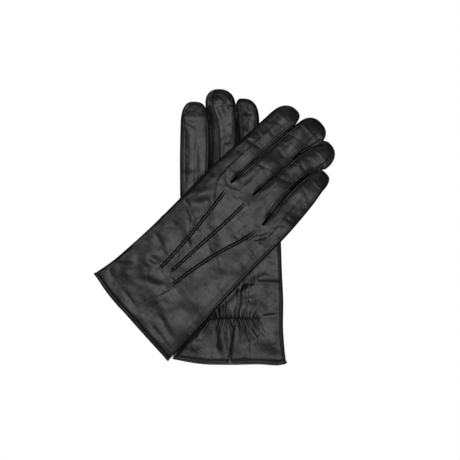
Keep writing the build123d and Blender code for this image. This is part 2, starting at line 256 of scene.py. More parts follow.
def crease(x, y, start, end, depth, width):
    """A soft valley along a line, which fades at its two ends; a negative depth is a fold standing up."""
    a, b = np.array(start, float), np.array(end, float)
    along = (b - a) / np.linalg.norm(b - a)
    length = np.linalg.norm(b - a)
    t = (x - a[0]) * along[0] + (y - a[1]) * along[1]
    off = -(x - a[0]) * along[1] + (y - a[1]) * along[0]
    fade = ramp(t, -width, length * 0.25) * (1 - ramp(t, length * 0.75, length + width))
    return -depth * bell(off, width) * fade


def dimple(x, y, centre, radius, depth):
    """A soft round dent."""
    return -depth * bell(np.hypot(x - centre[0], y - centre[1]), radius)


def oval(x, y, centre, along, across, direction):
    """A soft oval spot of unit height, and how far across it each point lies, in half-widths."""
    turn = radians(direction)
    u = (x - centre[0]) * cos(turn) + (y - centre[1]) * sin(turn)
    v = -(x - centre[0]) * sin(turn) + (y - centre[1]) * cos(turn)
    return np.exp(-((u / along) ** 2) - (v / across) ** 2), v / across


def hollow(x, y, centre, along, across, direction, depth):
    """A soft oval dent."""
    spot, _ = oval(x, y, centre, along, across, direction)
    return -depth * spot


def lean(x, y, centre, along, across, direction, rise):
    """A soft oval patch that leans up across its length."""
    spot, share = oval(x, y, centre, along, across, direction)
    return rise * share * spot


broad, medium, fine = mottle(3, 60, 20), mottle(5, 16, 7), mottle(8, 6, 2.6)
folds_a, folds_b, patches = mottle(21, 48, 24), mottle(23, 30, 15), mottle(11, 70, 25)
NET_DEPTH, NET_WIDTH = (0.32, 0.22), 0.12  # of the faint creases, which run where a fold field crosses zero


def leather_relief(x, y, seed_shift):
    """The uneven lie of soft leather: broad swells, patches of finer crumple and a net of faint creases."""
    u, v = x + seed_shift, y - seed_shift
    patch = ramp(patches(u, v), -0.6, 1.4)
    swells = 0.55 * broad(u, v) + (0.06 + 0.08 * patch) * medium(u, v) + (0.012 + 0.045 * patch) * fine(u, v)
    net = NET_DEPTH[0] * np.exp(-np.abs(folds_a(u, v)) / NET_WIDTH) * ramp(folds_b(v, u), -0.2, 1.4)
    return swells - net - NET_DEPTH[1] * np.exp(-np.abs(folds_b(u, v)) / NET_WIDTH) * patch


POINTS = ((52, 138), (57, 143), (50, 131))  # where each raised line of the back starts and ends
POINT_RIDGE = dict(height=0.45, grooves=(1.9, 1.4))
WAVE, WAVE_PITCH, WAVE_REACH = 0.3, 4.8, 2.2  # the waves' swing, their length and how far off they are felt


def point_strength(y, start, end):
    """How strongly a raised line stands out along its length."""
    return ramp(y, start - 1.0, start + 1.0) * (1 - ramp(y, end - 3, end + 7))


def wave_shift(sheet, x, y):
    """The stitched points run in small waves, which the leather near them follows."""
    total = np.zeros_like(x)
    if sheet.side == "back":
        for line, (start, end) in zip(sheet.glove["back_lines"], POINTS):
            phase = 2 * pi * y / WAVE_PITCH + 1.9 * np.sin(y / 5.3 + start)
            swing = WAVE * (1 + 0.6 * np.sin(y / 3.7 + end))
            wave = swing * np.sin(phase) * point_strength(y, start, end)
            total = total + wave * bell(x - line(y), WAVE_REACH)
    return total


def back_relief(glove, x, y):
    """The three stitched points, which start above the wrist and run out before the fingers."""
    total = leather_relief(x, y, 0 if glove["side"] == "right" else 90)
    for line, (start, end) in zip(glove["back_lines"], POINTS):
        slant = (line(y + 1) - line(y - 1)) / 2
        off = (x - line(y)) / np.sqrt(1 + slant**2)
        pinch = 1 - 0.2 * np.cos(2 * pi * y / WAVE_PITCH)
        total = total + point_strength(y, start, end) * pinch * ridge(off, **POINT_RIDGE)
        total = total + dimple(x, y, (line(start - 3), start - 3.5), 2.2, 0.3)
    # The skin swells a little between the wrist and the knuckles.
    total = total + 0.35 * bell(x + 2, 26) * ramp(y, 45, 75) * (1 - ramp(y, 130, 150))
    if glove["side"] == "right":
        total = total + right_back_creases(x, y)
    return total


BACK_HOLLOWS = (  # centre, radius along and across, direction in degrees from +x, depth
    ((-41, 29), 8, 4, 120, 0.9),
    ((-24, 52), 6, 4, 20, 1.2),
    ((-17, 166), 10, 5, 90, 0.9),
    ((-41, 96), 12, 5, 120, 0.6),
    ((-43, 52), 9, 6, 90, 1.5),
    ((12, 88), 10, 3.5, 60, 0.5),
    ((36, 126), 20, 7, 80, 0.5),
    ((-36, 196), 9, 5, 20, 0.3),
    ((-34, 172), 8, 5, 160, 0.3),
    ((-12, 186), 9, 5, 40, 0.3),
    ((-14, 214), 9, 4, 130, 0.3),
    ((8, 196), 12, 4, 80, 0.3),
    ((28, 190), 16, 6, 85, -0.5),
)
BACK_CREASES = (  # start, end, depth, width; a negative depth stands up
    ((6.3, 47), (2.5, 32), 0.4, 1.3),
    ((2, 31), (-5, 8), 0.25, 1.1),
    ((8.5, 46), (-3, 9), -0.35, 2.6),
    ((-46, 22), (-36, 36), 0.6, 2.2),
    ((-48, 26), (-33, 40), -0.5, 2.6),
    ((-20, 44), (-34, 26), 0.5, 2.4),
    ((-44, 112), (-26, 104), 0.7, 2.0),
    ((-26, 106), (-19, 94), 0.9, 1.8),
    ((-30, 112), (-16, 108), -0.5, 3.0),
    ((-46, 72), (-26, 66), 0.45, 2.4),
    ((-46, 86), (-30, 90), 0.3, 1.6),
    ((-16, 74), (-9, 70), 0.35, 1.4),
    ((-17, 88), (-8, 84), 0.35, 1.4),
    ((-18, 104), (-8, 101), 0.3, 1.4),
    ((-4, 78), (8, 74), 0.3, 1.4),
    ((-3, 98), (10, 94), 0.3, 1.6),
    ((20, 127), (43, 163), 0.9, 3.0),
    ((-44, 178), (-30, 180), 0.4, 1.2),
    ((-46, 190), (-27, 194), 0.4, 1.5),
    ((-44, 204), (-30, 200), 0.45, 1.4),
    ((-40, 214), (-26, 210), 0.35, 1.4),
    ((-36, 222), (-25, 224), 0.35, 1.1),
    ((-20, 182), (-8, 186), 0.35, 1.6),
    ((-18, 206), (-6, 203), 0.3, 1.4),
    ((-20, 222), (-8, 226), 0.3, 1.2),
    ((2, 186), (16, 192), 0.4, 2.0),
    ((4, 212), (16, 208), 0.3, 1.4),
    ((22, 60), (40, 100), 0.4, 5.0),
    ((14, 20), (40, 12), 0.4, 3.4),
    ((16, 8), (44, 5), 0.35, 2.0),
    ((-26, 12), (2, 8), 0.4, 2.2),
    ((24, 196), (38, 192), 0.3, 1.6),
)
BACK_LEANS = (  # centre, half-length, half-width, direction of its length in degrees from +x, rise across it
    ((-33, 123), 17, 6, 59, 1.5),
    ((-33, 49), 9, 8, 90, -2.0),
    ((36, 36), 22, 11, 90, -1.8),
    ((14, 226), 10, 9, 135, 1.4),
    ((-11, 38), 14, 5, 23, 1.2),
)


def right_back_creases(x, y):
    """The dents, tilted patches and creases that wear has left in the right glove's back."""
    dents = sum(hollow(x, y, *item) for item in BACK_HOLLOWS)
    dents = dents + sum(lean(x, y, *item) for item in BACK_LEANS)
    return dents + sum(crease(x, y, *item) for item in BACK_CREASES)


FAN_ABOVE, FAN_BELOW = 46.0, 40.0  # how far off the row of stitches the puckers would be twice as wide
PUCKER_LENGTHS = np.array([6, 8, 5, 10, 6, 5, 13, 7, 5, 9, 26, 6, 15, 5, 8, 11, 5, 19, 7])


def gather_relief(x, y):
    """The shirred wrist: puckers that fan out above and below the row of stitches."""
    rise = y - GATHER_Y
    above = rise > 0
    fan = 1 + np.abs(rise) / np.where(above, FAN_ABOVE, FAN_BELOW)
    middle = sum(GATHER_X) / 2
    # Seat is the place on the row that a point's pucker comes from. Count numbers the puckers, which are
    # uneven, and share runs from 0 to 1 across one of them.
    seat = middle + (x - middle) / fan + 0.5 * np.sin(rise / 3.1)
    uneven = 0.8 * np.sin(0.43 * seat + 0.7) + 0.35 * np.sin(1.05 * seat + np.where(above, 0, 2.0))
    count = (seat + uneven - GATHER_X[0]) / GATHER_PITCH + np.where(above, 0.0, 0.45)
    index = np.floor(count).astype(int)
    share = count - index
    reach_here, reach_next = (
        PUCKER_LENGTHS[(index + step + np.where(above, 0, 5)) % len(PUCKER_LENGTHS)] for step in (0, 1)
    )
    reach = reach_here * (1 - share) + reach_next * share
    off = np.minimum(share, 1 - share) * GATHER_PITCH
    puff = 0.14 * np.sin(pi * share) - 0.9 * np.exp(-((off / 0.36) ** 1.3))
    within = ramp(seat, GATHER_X[0] - 1, GATHER_X[0] + 2) * (1 - ramp(seat, GATHER_X[1] - 2, GATHER_X[1] + 1))
    decay = np.exp(-((np.abs(rise) / reach) ** 1.6))
    rows = 1.35 * puff * within * decay
    swell = 0.35 * within * bell(np.abs(rise) - 5.0, 5.0)
    notch = 1.15 * within * bell(rise, 0.6) * (1 - 0.5 * np.sin(pi * share))
    return rows + swell - notch


PALM_RISE = (1.1, 73, 82), (1.6, 82, 104)  # height, and where each rise starts and ends


def rise_past_crease(x, y):
    """The palm lifts beyond the crease above the gathers, where the hand begins to fill out."""
    return sum(height * ramp(y, start, end) for height, start, end in PALM_RISE) * ramp(x, 4, 24)


EDGE_ABOVE = (-21.5, 41.5)  # a place on the left palm under the right glove's edge
OFF_EDGE = (0.70091, -0.71325)  # the way out from that edge
DENT_DEPTH, DENT_REACH = curve((66, 1.5), (84, 2.3)), curve((66, 4.5), (84, 8.5))


def pressed_beside(x, y):
    """The left palm gives way under the right glove's edge, and recovers beyond it."""
    clear = (x - EDGE_ABOVE[0]) * OFF_EDGE[0] + (y - EDGE_ABOVE[1]) * OFF_EDGE[1]
    dent = DENT_DEPTH(y) * bell(np.maximum(clear, 0), DENT_REACH(y))
    return -dent * (1 - ramp(y, 110, 140)) * ramp(clear, -26, -6)


PALM_CREASES = (  # start, end, depth, width; a negative depth stands up
    ((17, 73.5), (33, 75.0), 0.35, 1.3),
    ((28, 75.2), (50, 74.4), 0.55, 1.4),
    ((22, 79), (48, 78), -0.4, 2.8),
    ((26, 70), (46, 69.5), -0.25, 2.2),
    ((28, 43), (49, 45.5), 0.35, 0.8),
    ((28, 45), (49, 48.5), -0.2, 1.2),
    ((27, 44), (47, 58), 0.25, 0.7),
    ((27, 45), (40, 60), 0.2, 0.7),
    ((20, 38), (33, 22), 0.5, 0.9),
    ((24, 38), (40, 24), 0.25, 1.2),
    ((16, 36), (26, 22), 0.45, 0.9),
    ((-14, 38), (-12, 6), 0.5, 1.8),
    ((-9, 38), (-6, 4), -0.55, 2.4),
    ((-4.5, 38), (-3.6, 10), 0.45, 1.3),
    ((26, 23), (15, 17), 0.3, 0.8),
    ((8, 40), (9, 14), 0.35, 0.9),
    ((4, 60), (22, 60), 0.2, 0.8),
    ((22, 88), (44, 84), 0.4, 2.4),
    ((30, 100), (44, 92), 0.35, 2.2),
    ((-45, 226), (-34, 218), 0.7, 1.6),
    ((-41.8, 228), (-42.2, 160), 0.35, 1.3),
    ((-38, 216), (-38, 176), -0.2, 2.4),
    ((-43, 232), (-41, 222), -0.4, 1.6),
    ((-33, 236), (-31, 190), 0.3, 3.2),
    ((-26, 232), (-25, 180), -0.25, 2.2),
    ((-46, 176), (-26, 178), 0.35, 2.6),
    ((-11, 252), (2, 236), 0.5, 1.1),
    ((-8, 252), (4, 240), -0.45, 1.2),
    ((-14, 246), (-3, 224), 0.5, 2.6),
    ((-8, 246), (-8, 230), 0.7, 3.5),
    ((-6, 206), (2, 209), 0.3, 1.2),
    ((-9, 222), (0, 224), 0.3, 1.4),
    ((10, 232), (24, 226), 0.45, 1.4),
    ((12, 236), (25, 233), -0.4, 1.6),
    ((10, 224), (20, 232), 0.35, 1.2),
    ((8, 218), (22, 214), 0.35, 1.6),
)
KNOT_LOW = 0.6  # how far below the row of stitches its two end knots sit


def left_palm_lie(x, y):
    """How the left palm lies: dented, raised along the middle finger, and sunk towards its vent."""
    finger = 1.5 * bell(x - 4.5, 3.2) * ramp(y, 192, 212) * (1 - ramp(y, 232, 246))
    vent = 1.1 * bell(x - VENT_SWAY(y), 1.7) * (1 - ramp(y, VENT_TOP - 4, VENT_TOP + 1))
    return pressed_beside(x, y) + finger + lean(x, y, (-31, 195), 40, 4.5, 90, 0.55) - vent


def palm_relief(glove, x, y):
    """The gathered wrist, and the creases that wear has left in the palm and its fingers."""
    total = leather_relief(x, y, 40 if glove["side"] == "left" else 150)
    total = total + gather_relief(x, y) + rise_past_crease(x, y)
    if glove["side"] == "left":
        total = total + left_palm_lie(x, y)
    for end_x in GATHER_X:
        away = np.hypot(x - end_x, y - GATHER_Y + KNOT_LOW)
        total = total + 0.5 * bell(away - 2.1, 0.7) - 0.8 * bell(away, 1.2)
    return total + sum(crease(x, y, *item) for item in PALM_CREASES)


TIP_CREASE_FROM_END = 15.0


def tip_slope(finger, y):
    """The ridged cross crease near a fingertip, and the drop beyond it."""
    at = finger.tip[1] - TIP_CREASE_FROM_END
    return 0.42 * bell(y - at, 0.5) - 1.3 * ramp(y, at, at + 12)


# --- sheets: grids of points laid over one face of a glove -------------------------------------

SIDE_STEPS = 5  # columns of points fanned out between a finger's side and its seam
SEAM_LEAST = 1.6  # how close to a finger's side its seam may run
# How far the close columns of points lie from a seam, a raised line and the fold: fine on the upper sheet.
FINE_SEAM = np.array([-1.54, -1.2, -0.8, -0.4, 0, 0.4, 0.8, 1.2, 1.58, 1.78, 2.0])
COARSE_SEAM = np.array([-1.2, -0.8, 0, 0.8, 1.2, 1.58])
FINE_LINE = np.array([0, 0.2, 0.4, 0.58, 0.74, 0.97, 1.2, 1.45, 1.7, 1.92, 2.15, 2.4, 2.75, 3.15, 3.6, 4.1])
COARSE_LINE = np.array([0, 0.4, 0.74, 1.2, 1.7, 2.0, 2.3, 2.7, 3.1, 3.6, 4.1])
FINE_EDGE = np.array([0, 0.08, 0.2, 0.45, 0.7, 0.93, 1.16, 1.5, 1.9, 2.3, 2.64, 3.1, 3.6, 3.8, 3.95, 4.1])
COARSE_EDGE = np.array([0, 0.2, 0.7, 1.16, 1.9, 2.64, 3.1, 3.6, 3.8, 3.95, 4.1])
OUTSEAM_AT = 1.9
FINGER_SEAM = 0.93  # how much narrower than a point the seams beside the fingers are


def seam_columns(seam, scale, steps):
    """Distances from a finger's side: fanned out as far as its seam, then close together across it."""
    first = (seam + steps[0]) * scale
    fan = (np.arange(SIDE_STEPS) / SIDE_STEPS) ** 1.5
    return np.concatenate([first[:, None] * fan, (seam[:, None] + steps) * scale[:, None]], axis=1)


def columns(width, left, right, middle):
    """Distances across a strip from its left edge, close together along its two sides."""
    inner = np.arange(1, middle + 1) / (middle + 1)
    room = (width - left[:, -1] - right[:, -1])[:, None]
    return np.concatenate([left, left[:, -1:] + room * inner, width[:, None] - right[:, ::-1]], axis=1)


CROTCH_LIFT, CROTCH_REACH = 7.0, 14.0
TIGHT = {"right": 0.8, "left": 0.5}  # how much sharper each glove's leather rounds off between its fingers


def edge_chains(glove):
    """The glove's outline in plan, open at the cuff, as chains of closely spaced (x, y, lift, scale) points.

    Lift and scale make a point count as farther away, so that the leather stays flat where two fingers part,
    and rounds off sharply where they press on each other.
    """
    rows = np.arange(-8, 151.9, 0.5)
    chains = []
    for edge, (stop, _) in (("left_edge", glove["knuckles"][0]), ("right_edge", glove["knuckles"][-1])):
        y = np.append(rows[rows < stop], stop)
        chains.append((glove[edge](y), y, np.zeros_like(y), np.ones_like(y)))
    for finger in glove["fingers"]:
        for root, pick in ((finger.left_root, 0), (finger.right_root, 1)):
            turn = np.linspace(0, 1, 360)
            y = root[0] + (finger.tip[1] - root[0]) * (1 - (1 - turn) ** 2)
            outer = (finger.name, pick) in (("index", 0), ("little", 1))
            lift = np.zeros_like(y) if outer else CROTCH_LIFT * (1 - ramp(y - root[0], 0, CROTCH_REACH))
            close = TIGHT[glove["side"]] * (1 - ramp(y, finger.tip[1] - 42, finger.tip[1] - 20))
            chains.append((finger.side(pick, y), y, lift, np.ones_like(y) if outer else 1 + close))
    return [np.stack(chain, axis=1) for chain in chains]


class Outline:
    """Gives the distance in plan from any point to the nearest of some chains of points."""

    def __init__(self, chains):
        self.starts = np.concatenate([chain[:-1, :2] for chain in chains])
        self.steps = np.concatenate([np.diff(chain[:, :2], axis=0) for chain in chains])
        self.lifts = np.concatenate([chain[:-1, 2] for chain in chains])
        self.scales = np.concatenate([chain[:-1, 3] for chain in chains])
        self.tree = KDTree(len(self.starts))
        for i, (x, y) in enumerate(self.starts + self.steps / 2):
            self.tree.insert((x, y, 0), i)
        self.tree.balance()

    def distance(self, x, y):
        flat = np.stack([x.ravel(), y.ravel()], axis=1)
        near = np.array([[hit[1] for hit in self.tree.find_n((px, py, 0), 3)] for px, py in flat.tolist()])
        best = np.full(len(flat), 1e9)
        for pick in near.T:
            start, step = self.starts[pick], self.steps[pick]
            size = np.maximum((step**2).sum(axis=1), 1e-12)
            along = np.clip(((flat - start) * step).sum(axis=1) / size, 0, 1)
            plain = np.linalg.norm(flat - start - along[:, None] * step, axis=1)
            best = np.minimum(best, plain * self.scales[pick] + self.lifts[pick] * ramp(plain, 0.02, 1.2))
        return best.reshape(x.shape)


FLATNESS = dict(  # the share of its full thickness that each empty glove keeps along its length
    right=curve((-6, 0.68), (12, 0.74), (45, 0.86), (90, 1.0), (150, 0.98), (200, 0.92), (256, 0.86)),
    left=curve((-6, 0.47), (6, 0.55), (16, 0.66), (45, 0.85), (90, 1.0), (150, 1.0), (256, 0.95)),
)
DENT_FREE = 0.7  # how deep a dent can be before the inner face follows it
HEM_ROLL, HEM_ROLL_WIDE = 1.5, 4.5  # how far the upper sheet turns down at its hem, and over what width
LEAST_HEIGHT = 0.1  # how close the lower sheet's relief may come to what it rests on


class Sheet:
    """One face of a glove: a set of strips, with the height of any point on it."""

    def __init__(self, glove, side, upper, outline):
        self.glove, self.side, self.upper, self.outline = glove, side, upper, outline
        self.lines = glove["back_lines"] if side == "back" else glove["palm_lines"]
        self.relief = back_relief if side == "back" else palm_relief
        self.seam_steps = FINE_SEAM if upper else COARSE_SEAM

    def cuff_y(self, x):
        y = self.glove["cuff_low"](x)
        if not self.upper:
            return y
        return y + self.glove["cuff_step"] * (1 - (np.abs(x) / 54) ** 6)

    def heights(self, x, y, seam=0.0, rim=None):
        """Heights of the sheet with its relief, and of the smoother sheet that its inner face follows.

        Rim marks points on the fold.
        """
        form = HIGH if self.upper else LOW
        d = self.outline.distance(x, y)
        if rim is not None:
            d = np.where(rim, 0, d)
        near = np.clip(d / form["edge_r"], 0, 1)
        dome = form["dome_h"] * DOME_SHARE[self.glove["side"]]
        h = form["edge_h"] * np.sqrt(1 - (1 - near) ** 2) + dome * ramp(d, 0, form["dome_r"])
        if self.upper:
            h = h + CROWN_H * ramp(d, 0, CROWN_R)
        keep = FLATNESS[self.glove["side"]](y)
        mid = FLOOR_GAP + (MID_Z - FLOOR_GAP) * keep
        smooth = mid + h * keep if self.upper else mid - h * keep
        above = y - self.cuff_y(x)
        turned = -0.3 * (1 - ramp(above, 0, 0.8)) - 0.55 * bell(above - HEM_ROW, 0.55)
        if self.upper:
            turned = turned - HEM_ROLL * (1 - ramp(above, 0, HEM_ROLL_WIDE))
        detail = self.relief(self.glove, x, y) * ramp(d, 0.2, 3.0) + (seam + turned) * ramp(d, 0, 1.0)
        sunk = np.minimum(detail + DENT_FREE, 0)
        if self.upper:
            return smooth + detail, smooth + sunk
        return np.maximum(smooth - detail, LEAST_HEIGHT), smooth - sunk


def knuckle_y(glove, x):
    """Where along y the hand ends and the fingers start."""
    at = sorted((px, py) for py, px in glove["knuckles"])
    return np.interp(x, [p[0] for p in at], [p[1] for p in at])


VENT_SWAY = curve((-1, -0.7), (6, -0.3), (14, 0.8), (24, 2.3), (31, 2.0), (VENT_TOP, 0))


def vent_half(glove, y, side):
    """How far an edge of the vent stands back from the line it opens along. Its corners are rounded."""
    if glove["side"] == "right":
        return curve((0, 0.35), (VENT_TOP - 4, 0.3), (VENT_TOP, 0))(y)
    sway = VENT_SWAY(y)
    if side < 0:
        return curve((-1, 1.7), (0.5, 0.9), (3, 0.6), (20, 0.7), (VENT_TOP, 0))(y) - sway
    return curve((-1, 3.4), (0.5, 2.2), (3, 1.5), (7, 1.1), (13, 0.8), (20, 0.7), (VENT_TOP, 0))(y) + sway


def near_vent(sheet, x, y, margin):
    """Whether points lie in the vent, or within a margin beyond its edges."""
    return (x > -vent_half(sheet.glove, y, -1) - margin) & (x < vent_half(sheet.glove, y, 1) + margin)


HAND_END = 152.0
HAND_ROWS = np.concatenate([
    [0, 0.2, 0.5, 0.9, 1.4, 2, 2.6, 3.2, 4],
    np.arange(5, 36, 1.0),
    np.arange(36, 48, 0.55),
    np.linspace(48, HAND_END, 131),
]) / HAND_END
# How many columns of points each strip of the hand has between its close ones, on the upper and lower sheets.
MIDDLES = {"back": (14, 14, 14, 14), "palm": (14, 56, 56, 26)}
LOW_MIDDLES = {"back": (7, 7, 7, 7), "palm": (7, 18, 18, 9)}
BODY_ROWS, TIP_ROWS = 76, 25  # rows of points along a finger, and round its tip


def hand_strip(sheet, k):
    """The part of a sheet between two lines that run from the cuff to the sides of one finger."""
    glove = sheet.glove
    bounds = (glove["left_edge"], *sheet.lines, glove["right_edge"])
    t = HAND_ROWS
    sides = []
    for line in bounds[k : k + 2]:
        y = 150 * t
        for _ in range(8):
            x = line(y)
            y = (1 - t) * sheet.cuff_y(x) + t * knuckle_y(glove, x)
        sides.append(x)
    left, right = sides
    if sheet.side == "palm":
        rows = HAND_END * t - 1
        if k == 1:
            right = right - np.where(rows < VENT_TOP, vent_half(glove, rows, -1), 0)
        if k == 2:
            left = left + np.where(rows < VENT_TOP, vent_half(glove, rows, 1), 0)
    finger = glove["fingers"][k]
    middle = (MIDDLES if sheet.upper else LOW_MIDDLES)[sheet.side][k]
    line_steps, edge_steps = (FINE_LINE, FINE_EDGE) if sheet.upper else (COARSE_LINE, COARSE_EDGE)
    reach = ramp(t, 0.93, 1.0)[:, None]
    offsets = []
    for pick, at_edge in ((0, k == 0), (1, k == 3)):
        root = np.full_like(t, max(finger.seams[pick][0], SEAM_LEAST))
        ends = seam_columns(root, np.ones_like(t), sheet.seam_steps)
        offsets.append((1 - reach) * (edge_steps if at_edge else line_steps) + reach * ends)
    across = columns(right - left, *offsets, middle)
    x = left[:, None] + across
    y = (1 - t[:, None]) * sheet.cuff_y(x) + t[:, None] * knuckle_y(glove, x)
    rim = np.zeros(x.shape, bool)
    rim[:, 0] = k == 0
    rim[:, -1] = k == 3
    seam = np.zeros_like(x)
    if k == 3:
        seam = ridge(glove["right_edge"](y) - x - OUTSEAM_AT, 0.55, (0, 0.9))
        seam = seam * (1 - ramp(t, 0.97, 1.0))[:, None]
    return dict(x=x, y=y, seam=seam, rim=rim, zone=None, finger=None, middle=middle)


def finger_strip(sheet, finger, middle):
    """One finger's share of a sheet, from its root to its tip."""
    glove = sheet.glove
    stop = min(finger.caps)
    body = np.linspace(0, 1, BODY_ROWS)
    tip = stop + (finger.tip[1] - stop) * np.sin(np.linspace(0, pi / 2, TIP_ROWS + 1)[1:])
    rows_left, rows_right = (
        np.concatenate([root[0] + (stop - root[0]) * body, tip])
        for root in (finger.left_root, finger.right_root)
    )
    left, right = finger.side(0, rows_left), finger.side(1, rows_right)
    width = right - left
    plain = finger.right(rows_right) - finger.left(rows_left)
    scale = np.clip(width / plain, 0, 1)
    progress = np.clip((rows_left - rows_left[0]) / (finger.tip[1] - rows_left[0]), 0, 1)
    seams = [np.maximum(first + (last - first) * progress**2, SEAM_LEAST) for first, last in finger.seams]
    if finger.seam_line:
        wanted = (right - finger.seam_line(rows_right)) / np.maximum(scale, 0.3)
        seams[1] = np.clip(wanted, SEAM_LEAST, 0.5 * plain)
    sides = [seam_columns(seam, scale, sheet.seam_steps) for seam in seams]
    across = columns(width, *sides, middle)
    share = np.divide(across, width[:, None], out=np.zeros_like(across), where=width[:, None] > 1e-9)
    x = left[:, None] + across
    straight = rows_left[:, None] + (rows_right - rows_left)[:, None] * share
    fade = np.concatenate([body, np.ones(TIP_ROWS)])[:, None]
    bent = (1 - fade) * knuckle_y(glove, x) + fade * stop
    y = np.where(np.arange(len(rows_left))[:, None] < BODY_ROWS, bent, straight)
    grown = np.maximum(scale, 0.15)[:, None]
    offsets = [across - (seams[0] * scale)[:, None], width[:, None] - across - (seams[1] * scale)[:, None]]
    fade_in = ramp(fade, 0, 0.07) * ramp(scale, 0.12, 0.4)[:, None]
    seam = np.zeros_like(x)
    for off, strength in zip(offsets, finger.ridges):
        seam = seam + strength * ridge(off / grown / FINGER_SEAM, 0.35, (0, 0.8)) * fade_in
    if sheet.upper:
        seam = seam + tip_slope(finger, y) * ramp(across, 1, 4) * ramp(width[:, None] - across, 1, 4)
    quads = x.shape[1] - 1
    gusset = SIDE_STEPS + int(np.argmin(np.abs(sheet.seam_steps)))
    zone = np.zeros(quads, int)
    zone[:gusset] = 1
    zone[quads - gusset :] = 1
    if finger.name == "index":
        zone[:gusset] = 0
    if finger.name == "little":
        zone[quads - gusset :] = 0
    rim = np.zeros(x.shape, bool)
    rim[:, 0] = rim[:, -1] = rim[-1] = True
    return dict(x=x, y=y, seam=seam, rim=rim, zone=zone, finger=finger, middle=middle)


# --- a glove's full mesh -----------------------------------------------------------------------


def grid_quads(index):
    """The quads of a grid of point numbers."""
    return np.stack([index[:-1, :-1], index[:-1, 1:], index[1:, 1:], index[1:, :-1]], axis=-1).reshape(-1, 4)


class Skin:
    """All the strips of one glove, joined along their edges, with each quad labelled by its piece."""

    def __init__(self):
        self.flat, self.low, self.quads, self.labels, self.hem = [], [], [], [], []
        self.fingers = []
        self.count = 0

    def add(self, x, y, z, z_low, labels, hem, finger, flip):
        self.flat.append(np.stack([x, y, z], axis=-1).reshape(-1, 3))
        self.low.append(np.stack([x, y, z_low], axis=-1).reshape(-1, 3))
        self.fingers += [finger] * x.size
        quads = grid_quads(self.count + np.arange(x.size).reshape(x.shape))
        self.quads.append(quads[:, ::-1] if flip else quads)
        self.labels.append(labels.ravel())
        self.hem.append(hem.ravel())
        self.count += x.size

    def weld(self):
        """Joins points that lie at the same place, and drops the quads that this makes flat."""
        flat, low = np.concatenate(self.flat), np.concatenate(self.low)
        keys = np.floor((flat + 0.00137) / 0.01).astype(np.int64)
        _, first, same = np.unique(keys, axis=0, return_index=True, return_inverse=True)
        same = same.ravel()
        self.flat, self.low = flat[first], low[first]
        self.fingers = np.array(self.fingers)[first]
        quads = same[np.concatenate(self.quads)]
        self.labels, self.hem = np.concatenate(self.labels), np.concatenate(self.hem)
        distinct = np.array([len(set(q)) for q in quads.tolist()])
        keep = distinct >= 3
        self.quads, self.labels, self.hem = quads[keep], self.labels[keep], self.hem[keep]
        return self


def corner_normals(points, quads):
    """Normals at the points of a mesh, weighted by the areas of the faces around each."""
    a, b = points[quads[:, 2]] - points[quads[:, 0]], points[quads[:, 3]] - points[quads[:, 1]]
    face = np.cross(a, b)
    total = np.zeros_like(points)
    for corner in range(4):
        for axis in range(3):
            total[:, axis] += np.bincount(quads[:, corner], face[:, axis], len(points))
    return total / np.maximum(np.linalg.norm(total, axis=1, keepdims=True), 1e-12)


def strips(sheet):
    """Each strip of a sheet: the hand's four, then the fingers that continue them."""
    for k, finger in enumerate(sheet.glove["fingers"]):
        hand = hand_strip(sheet, k)
        yield hand
        yield finger_strip(sheet, finger, hand["middle"])


def quad_centres(x, y):
    return (x[:-1, :-1] + x[1:, 1:]) / 2, (y[:-1, :-1] + y[1:, 1:]) / 2


def labels_of(sheet, strip):
    """Names the piece that each quad of a strip belongs to, and says whether the hem lies behind it."""
    centre_x, centre_y = quad_centres(strip["x"], strip["y"])
    shape = centre_x.shape
    if strip["finger"]:
        name = strip["finger"].name
        row = np.where(strip["zone"] == 1, name + "_gussets", name + "_leather")
        return np.broadcast_to(row, shape), np.zeros(shape, bool)
    above = centre_y > CUFF_SPLIT_Y
    labels = np.where(above | (sheet.glove["side"] == "left"), "hand_leather", "cuff_leather")
    hem = centre_y - sheet.cuff_y(centre_x) < HEM_DEPTH
    if sheet.side == "palm":
        hem = hem | (near_vent(sheet, centre_x, centre_y, 5) & (centre_y < VENT_TOP + 2))
    return labels, hem


def make_sheets(glove):
    """A glove's two faces: the one on top, then the one beneath."""
    outline = Outline(edge_chains(glove))
    upper_side, lower_side = ("back", "palm") if glove["side"] == "right" else ("palm", "back")
    return Sheet(glove, upper_side, True, outline), Sheet(glove, lower_side, False, outline)


def make_skin(sheets):
    skin = Skin()
    for sheet in sheets:
        for strip in strips(sheet):
            x, y = strip["x"], strip["y"]
            z, z_low = sheet.heights(x, y, strip["seam"], strip["rim"])
            labels, hem = labels_of(sheet, strip)
            finger = strip["finger"].name if strip["finger"] else "hand"
            skin.add(x + wave_shift(sheet, x, y), y, z, z_low, labels, hem, finger, not sheet.upper)
    return skin.weld()


